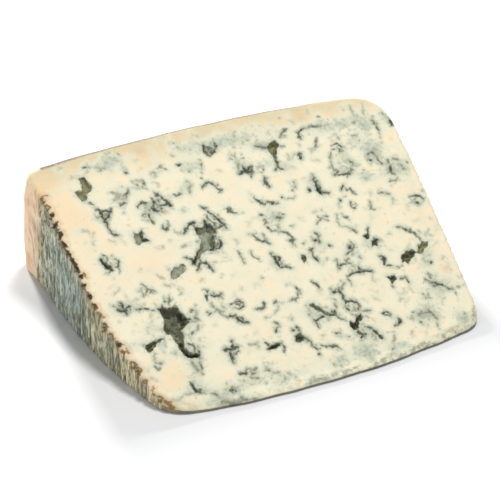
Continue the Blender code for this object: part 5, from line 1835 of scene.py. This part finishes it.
def pit_colour(paint_of, values):
    """The floors of the pits, some of them olive, pale or dark; pale and dark are partly painted light
    and shade.
    """
    values["pale"] = paint_of.attribute("pale")
    colour = paint_of.mix(paint_of.step(values["floor"], *GREY_OR_OLIVE), PIT_DARK, PIT)
    olive = paint_of.product(paint_of.attribute("olive"), OLIVE_SHARE)
    colour = paint_of.mix(olive, colour, PIT_OLIVE)
    colour = paint_of.mix(values["pale"], colour, PIT_PALE)
    return paint_of.layered(colour, values, FLOOR_LAYERS)


def paste_colour(paint_of):
    """The paste: cream and haze, pits with a broken dark line around them, and veins."""
    values = paint_of.noises(PASTE_NOISES)
    frayed = values["frayed"]
    blotch = values["blotch"]
    shake = paint_of.add(paint_of.centred(values["ragged"], RAGGED_SHAKE),
                         paint_of.centred(frayed, FRAYED_SHAKE))
    colour = haze_colour(paint_of, values)

    depth = paint_of.add(paint_of.attribute("pit"), paint_of.product(shake, PIT_SHAKE))
    colour = paint_of.mix(paint_of.step(depth, *PIT_INSIDE), colour, pit_colour(paint_of, values))
    line = paint_of.centred(shake, LINE_SHAKE, LINE_MIDDLE)
    line = paint_of.add(paint_of.attribute("mouth"), line)
    line = paint_of.step(paint_of.maths("ABSOLUTE", line), *PIT_LINE)
    line = paint_of.product(line, paint_of.step(blotch, *PIT_LINE_GAPS))
    colour = paint_of.mix(line, colour, VEIN_DARK)

    edge = paint_of.add(paint_of.attribute("vein_gap"), shake)
    ink = paint_of.product(paint_of.attribute("vein_ink"), paint_of.step(blotch, *INK_GAPS))
    mould = paint_of.mix(paint_of.step(ink, *DARK_INK), VEIN, VEIN_DARK)
    halo = paint_of.product(paint_of.step(edge, *HALO), ink, paint_of.step(blotch, *HALO_GAPS))
    colour = paint_of.mix(halo, colour, HAZE_DARK)
    core = paint_of.product(paint_of.step(edge, *CORE), paint_of.step(ink, *CORE_INK),
                            paint_of.step(frayed, *CORE_GAPS))
    return paint_of.mix(core, colour, mould)


def rind_colour(paint_of):
    """The rind: grey-green and blue mould with upright streaks, pink where it is bare."""
    values = paint_of.noises(RIND_NOISES)
    patches = values["patches"]
    base = paint_of.attribute("base")
    values["base"] = base
    colour = paint_of.mix(paint_of.step(patches, *GREY_OR_OLIVE), RIND_GREY, RIND_OLIVE)
    blue = paint_of.product(paint_of.step(base, *BLUE_FROM), paint_of.step(base, *BLUE_TO),
                            paint_of.step(patches, *BLUE_PATCHES))
    colour = paint_of.mix(blue, colour, RIND_BLUE)
    colour = paint_of.layered(colour, values, RIND_LAYERS)
    # Painted shade: the rind is darkened in its grooves, the more the deeper they are
    groove = paint_of.product(paint_of.attribute("groove"), GROOVE_SHADE_SHARE)
    colour = paint_of.mix(groove, colour, RIND_DARK)

    bare = paint_of.layered(RIND_PINK, values, BARE_LAYERS)
    edge = paint_of.add(base, paint_of.centred(values["streaks"], BARE_SHAKE))
    colour = paint_of.mix(paint_of.step(edge, *BARE_FROM), colour, bare)
    outer = paint_of.layered(WALL_PINK, values, WALL_LAYERS)
    wall = paint_of.add(paint_of.attribute("wall"), paint_of.centred(patches, WALL_SHAKE))
    return paint_of.mix(paint_of.step(wall, *WALL_SHOWN), colour, outer)


def nose_colour(paint_of, paste, values):
    """The paste of the narrow front: mouldy and crumbly, with a painted contact shadow along its foot.
    """
    nose = paint_of.attribute("nose")
    over = paint_of.attribute("over")
    band = paint_of.product(nose, paint_of.step(over, *NOSE_BAND))
    colour = paint_of.mix(paint_of.product(band, BAND_SHARE), paste, NOSE_PALE)
    streak = paint_of.product(band, paint_of.step(values["mottle"], *NOSE_STREAKS), STREAK_SHARE)
    colour = paint_of.mix(streak, colour, NOSE_MOULD)
    crumbs = paint_of.product(band, paint_of.step(values["crumble"], *NOSE_CRUMBS), CRUMB_SHARE)
    colour = paint_of.mix(crumbs, colour, CREAM)
    # Painted shade: the lowest strip of the front is darkened for the contact shadow under its edge
    foot = paint_of.product(paint_of.step(nose, *NOSE_ONLY), paint_of.step(over, *NOSE_LOW), CONTACT_SHADE_SHARE)
    return paint_of.mix(foot, colour, NOSE_CONTACT_SHADE)


def rim_colour(paint_of, colour, edge, ragged):
    """The brown line and blots where the paste meets the rind."""
    brim = paint_of.product(paint_of.attribute("brim"), paint_of.step(ragged, *BRIM_GAPS))
    colour = paint_of.mix(brim, colour, RIND_BROWN)
    notch = paint_of.add(paint_of.attribute("blot"), paint_of.centred(ragged, NOTCH_SHAKE))
    warmth = paint_of.product(paint_of.step(notch, *BLOT_WARMTH), paint_of.step(edge, *WARMTH_ON_PASTE))
    colour = paint_of.mix(warmth, colour, TAN)
    dark = paint_of.mix(paint_of.step(paint_of.attribute("blot_ink"), *BLOT_INK), BLOT_TAN, BLOT_DARK)
    brown = paint_of.mix(paint_of.step(notch, *BLOT_MIDDLE), dark, BLOT)
    return paint_of.mix(paint_of.step(notch, *BLOT_SHOWN), colour, brown)


def wedge_material():
    """Paste, rind and the dark notches between them."""
    paint_of = Paint("cheese paste")
    values = paint_of.noises(EDGE_NOISES)
    ragged = values["ragged"]
    paste = nose_colour(paint_of, paste_colour(paint_of), values)
    edge = paint_of.add(paint_of.attribute("rind"), paint_of.centred(ragged, EDGE_SHAKE))
    colour = paint_of.mix(paint_of.step(edge, *RIND_SHOWN), paste, rind_colour(paint_of))
    colour = rim_colour(paint_of, colour, edge, ragged)
    inputs = paint_of.shader.inputs
    paint_of.link(colour, inputs["Base Color"])
    paint_of.link(paint_of.step(edge, *ROUGHNESS), inputs["Roughness"])
    inputs["Specular IOR Level"].default_value = SHINE
    inputs["Subsurface Weight"].default_value = GLOW_THROUGH
    inputs["Subsurface Radius"].default_value = GLOW_COLOURS
    inputs["Subsurface Scale"].default_value = GLOW_DEPTH * MM

    bump = paint_of.tree.nodes.new("ShaderNodeBump")
    bump.inputs["Strength"].default_value = BUMP_STRENGTH
    bump.inputs["Distance"].default_value = BUMP_HEIGHT * MM
    paint_of.link(paint_of.add(values["grain"], values["swell"]), bump.inputs["Height"])
    paint_of.link(bump.outputs[0], inputs["Normal"])
    return paint_of.material


# ------------------------------------------------------------------ the object

def mesh_piece(name, places, faces, values, material):
    """One mesh object with smooth faces and a value of each field at each point."""
    mesh = bpy.data.meshes.new(name)
    mesh.vertices.add(len(places))
    mesh.vertices.foreach_set("co", places.ravel())
    mesh.loops.add(faces.size)
    mesh.loops.foreach_set("vertex_index", faces.ravel())
    mesh.polygons.add(len(faces))
    mesh.polygons.foreach_set("loop_start", np.arange(0, faces.size, 3))
    mesh.update(calc_edges=True)
    mesh.polygons.foreach_set("use_smooth", np.ones(len(faces), bool))
    for field, numbers in values.items():
        layer = mesh.attributes.new(field, "FLOAT", "POINT")
        layer.data.foreach_set("value", numbers.astype(np.float32))
    mesh.materials.append(material)
    piece = bpy.data.objects.new(name, mesh)
    bpy.context.scene.collection.objects.link(piece)
    return piece


def build_wedge():
    """The whole wedge as one closed mesh, kept inside the solid's box."""
    wedge = Wedge()
    used, faces = np.unique(wedge.faces, return_inverse=True)
    low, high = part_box("cheese_wedge")
    places = np.clip((wedge.places[used] - FOOTPRINT_MIDDLE) * MM, np.array(low), np.array(high))
    values = {field: numbers[used] for field, numbers in wedge.values.items()}
    piece = mesh_piece("cheese_wedge_surface", places, faces.reshape(-1, 3), values, wedge_material())
    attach(piece, "root")
    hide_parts("cheese_wedge")


# ------------------------------------------------------------------ stage, in metres

FLOOR_SIZE = 6.0
FLOOR_ROUGHNESS = 0.9
FLOOR_SHINE = 0.1
WORLD_COLOUR = (0.98, 0.99, 1.0, 1.0)
WORLD_LIGHT = 0.46
NEAREST_SEEN = 0.01
FURTHEST_SEEN = 20.0
LAMPS = (                      # name, place, size, power in watts
    ("key", (0.21, 0.1, 1.2), 0.24, 10.6),
    ("back", (0.04, 1.1, 0.52), 0.14, 17.5),
    ("low left", (-1.1, -0.35, 0.12), 0.2, 2.2),
    ("low front", (0.1, -1.2, 0.14), 0.25, 2.2),
)


def floor_material():
    """Pale matt floor."""
    material = bpy.data.materials.new("floor")
    material.use_nodes = True
    shader = material.node_tree.nodes["Principled BSDF"]
    shader.inputs["Base Color"].default_value = FLOOR_PAINT
    shader.inputs["Roughness"].default_value = FLOOR_ROUGHNESS
    shader.inputs["Specular IOR Level"].default_value = FLOOR_SHINE
    return material


def add_floor():
    """The floor that the wedge rests on."""
    half = FLOOR_SIZE / 2
    mesh = bpy.data.meshes.new("floor")
    corners = [(-half, -half, 0.0), (half, -half, 0.0), (half, half, 0.0), (-half, half, 0.0)]
    mesh.from_pydata(corners, [], [(0, 1, 2, 3)])
    mesh.materials.append(floor_material())
    floor = bpy.data.objects.new("floor", mesh)
    bpy.context.scene.collection.objects.link(floor)


def add_world():
    """Soft light from all around."""
    world = bpy.data.worlds.new("studio")
    world.use_nodes = True
    background = world.node_tree.nodes["Background"]
    background.inputs["Color"].default_value = WORLD_COLOUR
    background.inputs["Strength"].default_value = WORLD_LIGHT
    bpy.context.scene.world = world


def add_light(name, place, size, power):
    """A square soft light aimed at the wedge."""
    lamp = bpy.data.lights.new(name, "AREA")
    lamp.size = size
    lamp.energy = power
    light = bpy.data.objects.new(name, lamp)
    light.location = place
    light.rotation_mode = "QUATERNION"
    light.rotation_quaternion = Vector(place).to_track_quat("Z", "Y")
    bpy.context.scene.collection.objects.link(light)


def add_camera():
    """The camera that took the photo."""
    place, right, up, back = camera_axes()
    camera = bpy.data.cameras.new("camera")
    camera.sensor_width = SENSOR
    camera.lens = SENSOR * FOCAL_PIXELS / FRAME_PIXELS
    camera.clip_start = NEAREST_SEEN
    camera.clip_end = FURTHEST_SEEN
    seen = bpy.data.objects.new("camera", camera)
    rotation = Matrix((right, up, back)).transposed().to_4x4()
    seen.matrix_world = Matrix.Translation((place - FOOTPRINT_MIDDLE) * MM) @ rotation
    bpy.context.scene.collection.objects.link(seen)
    bpy.context.scene.camera = seen


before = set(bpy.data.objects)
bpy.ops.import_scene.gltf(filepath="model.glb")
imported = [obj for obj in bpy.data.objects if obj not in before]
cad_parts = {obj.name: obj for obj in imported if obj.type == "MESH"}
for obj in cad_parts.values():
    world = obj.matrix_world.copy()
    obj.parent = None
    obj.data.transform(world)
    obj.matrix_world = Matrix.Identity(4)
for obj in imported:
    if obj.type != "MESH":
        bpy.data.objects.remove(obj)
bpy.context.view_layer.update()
add_camera()
add_floor()
add_world()
for lamp_settings in LAMPS:
    add_light(*lamp_settings)
build_wedge()
bpy.context.scene.view_settings.view_transform = "Standard"
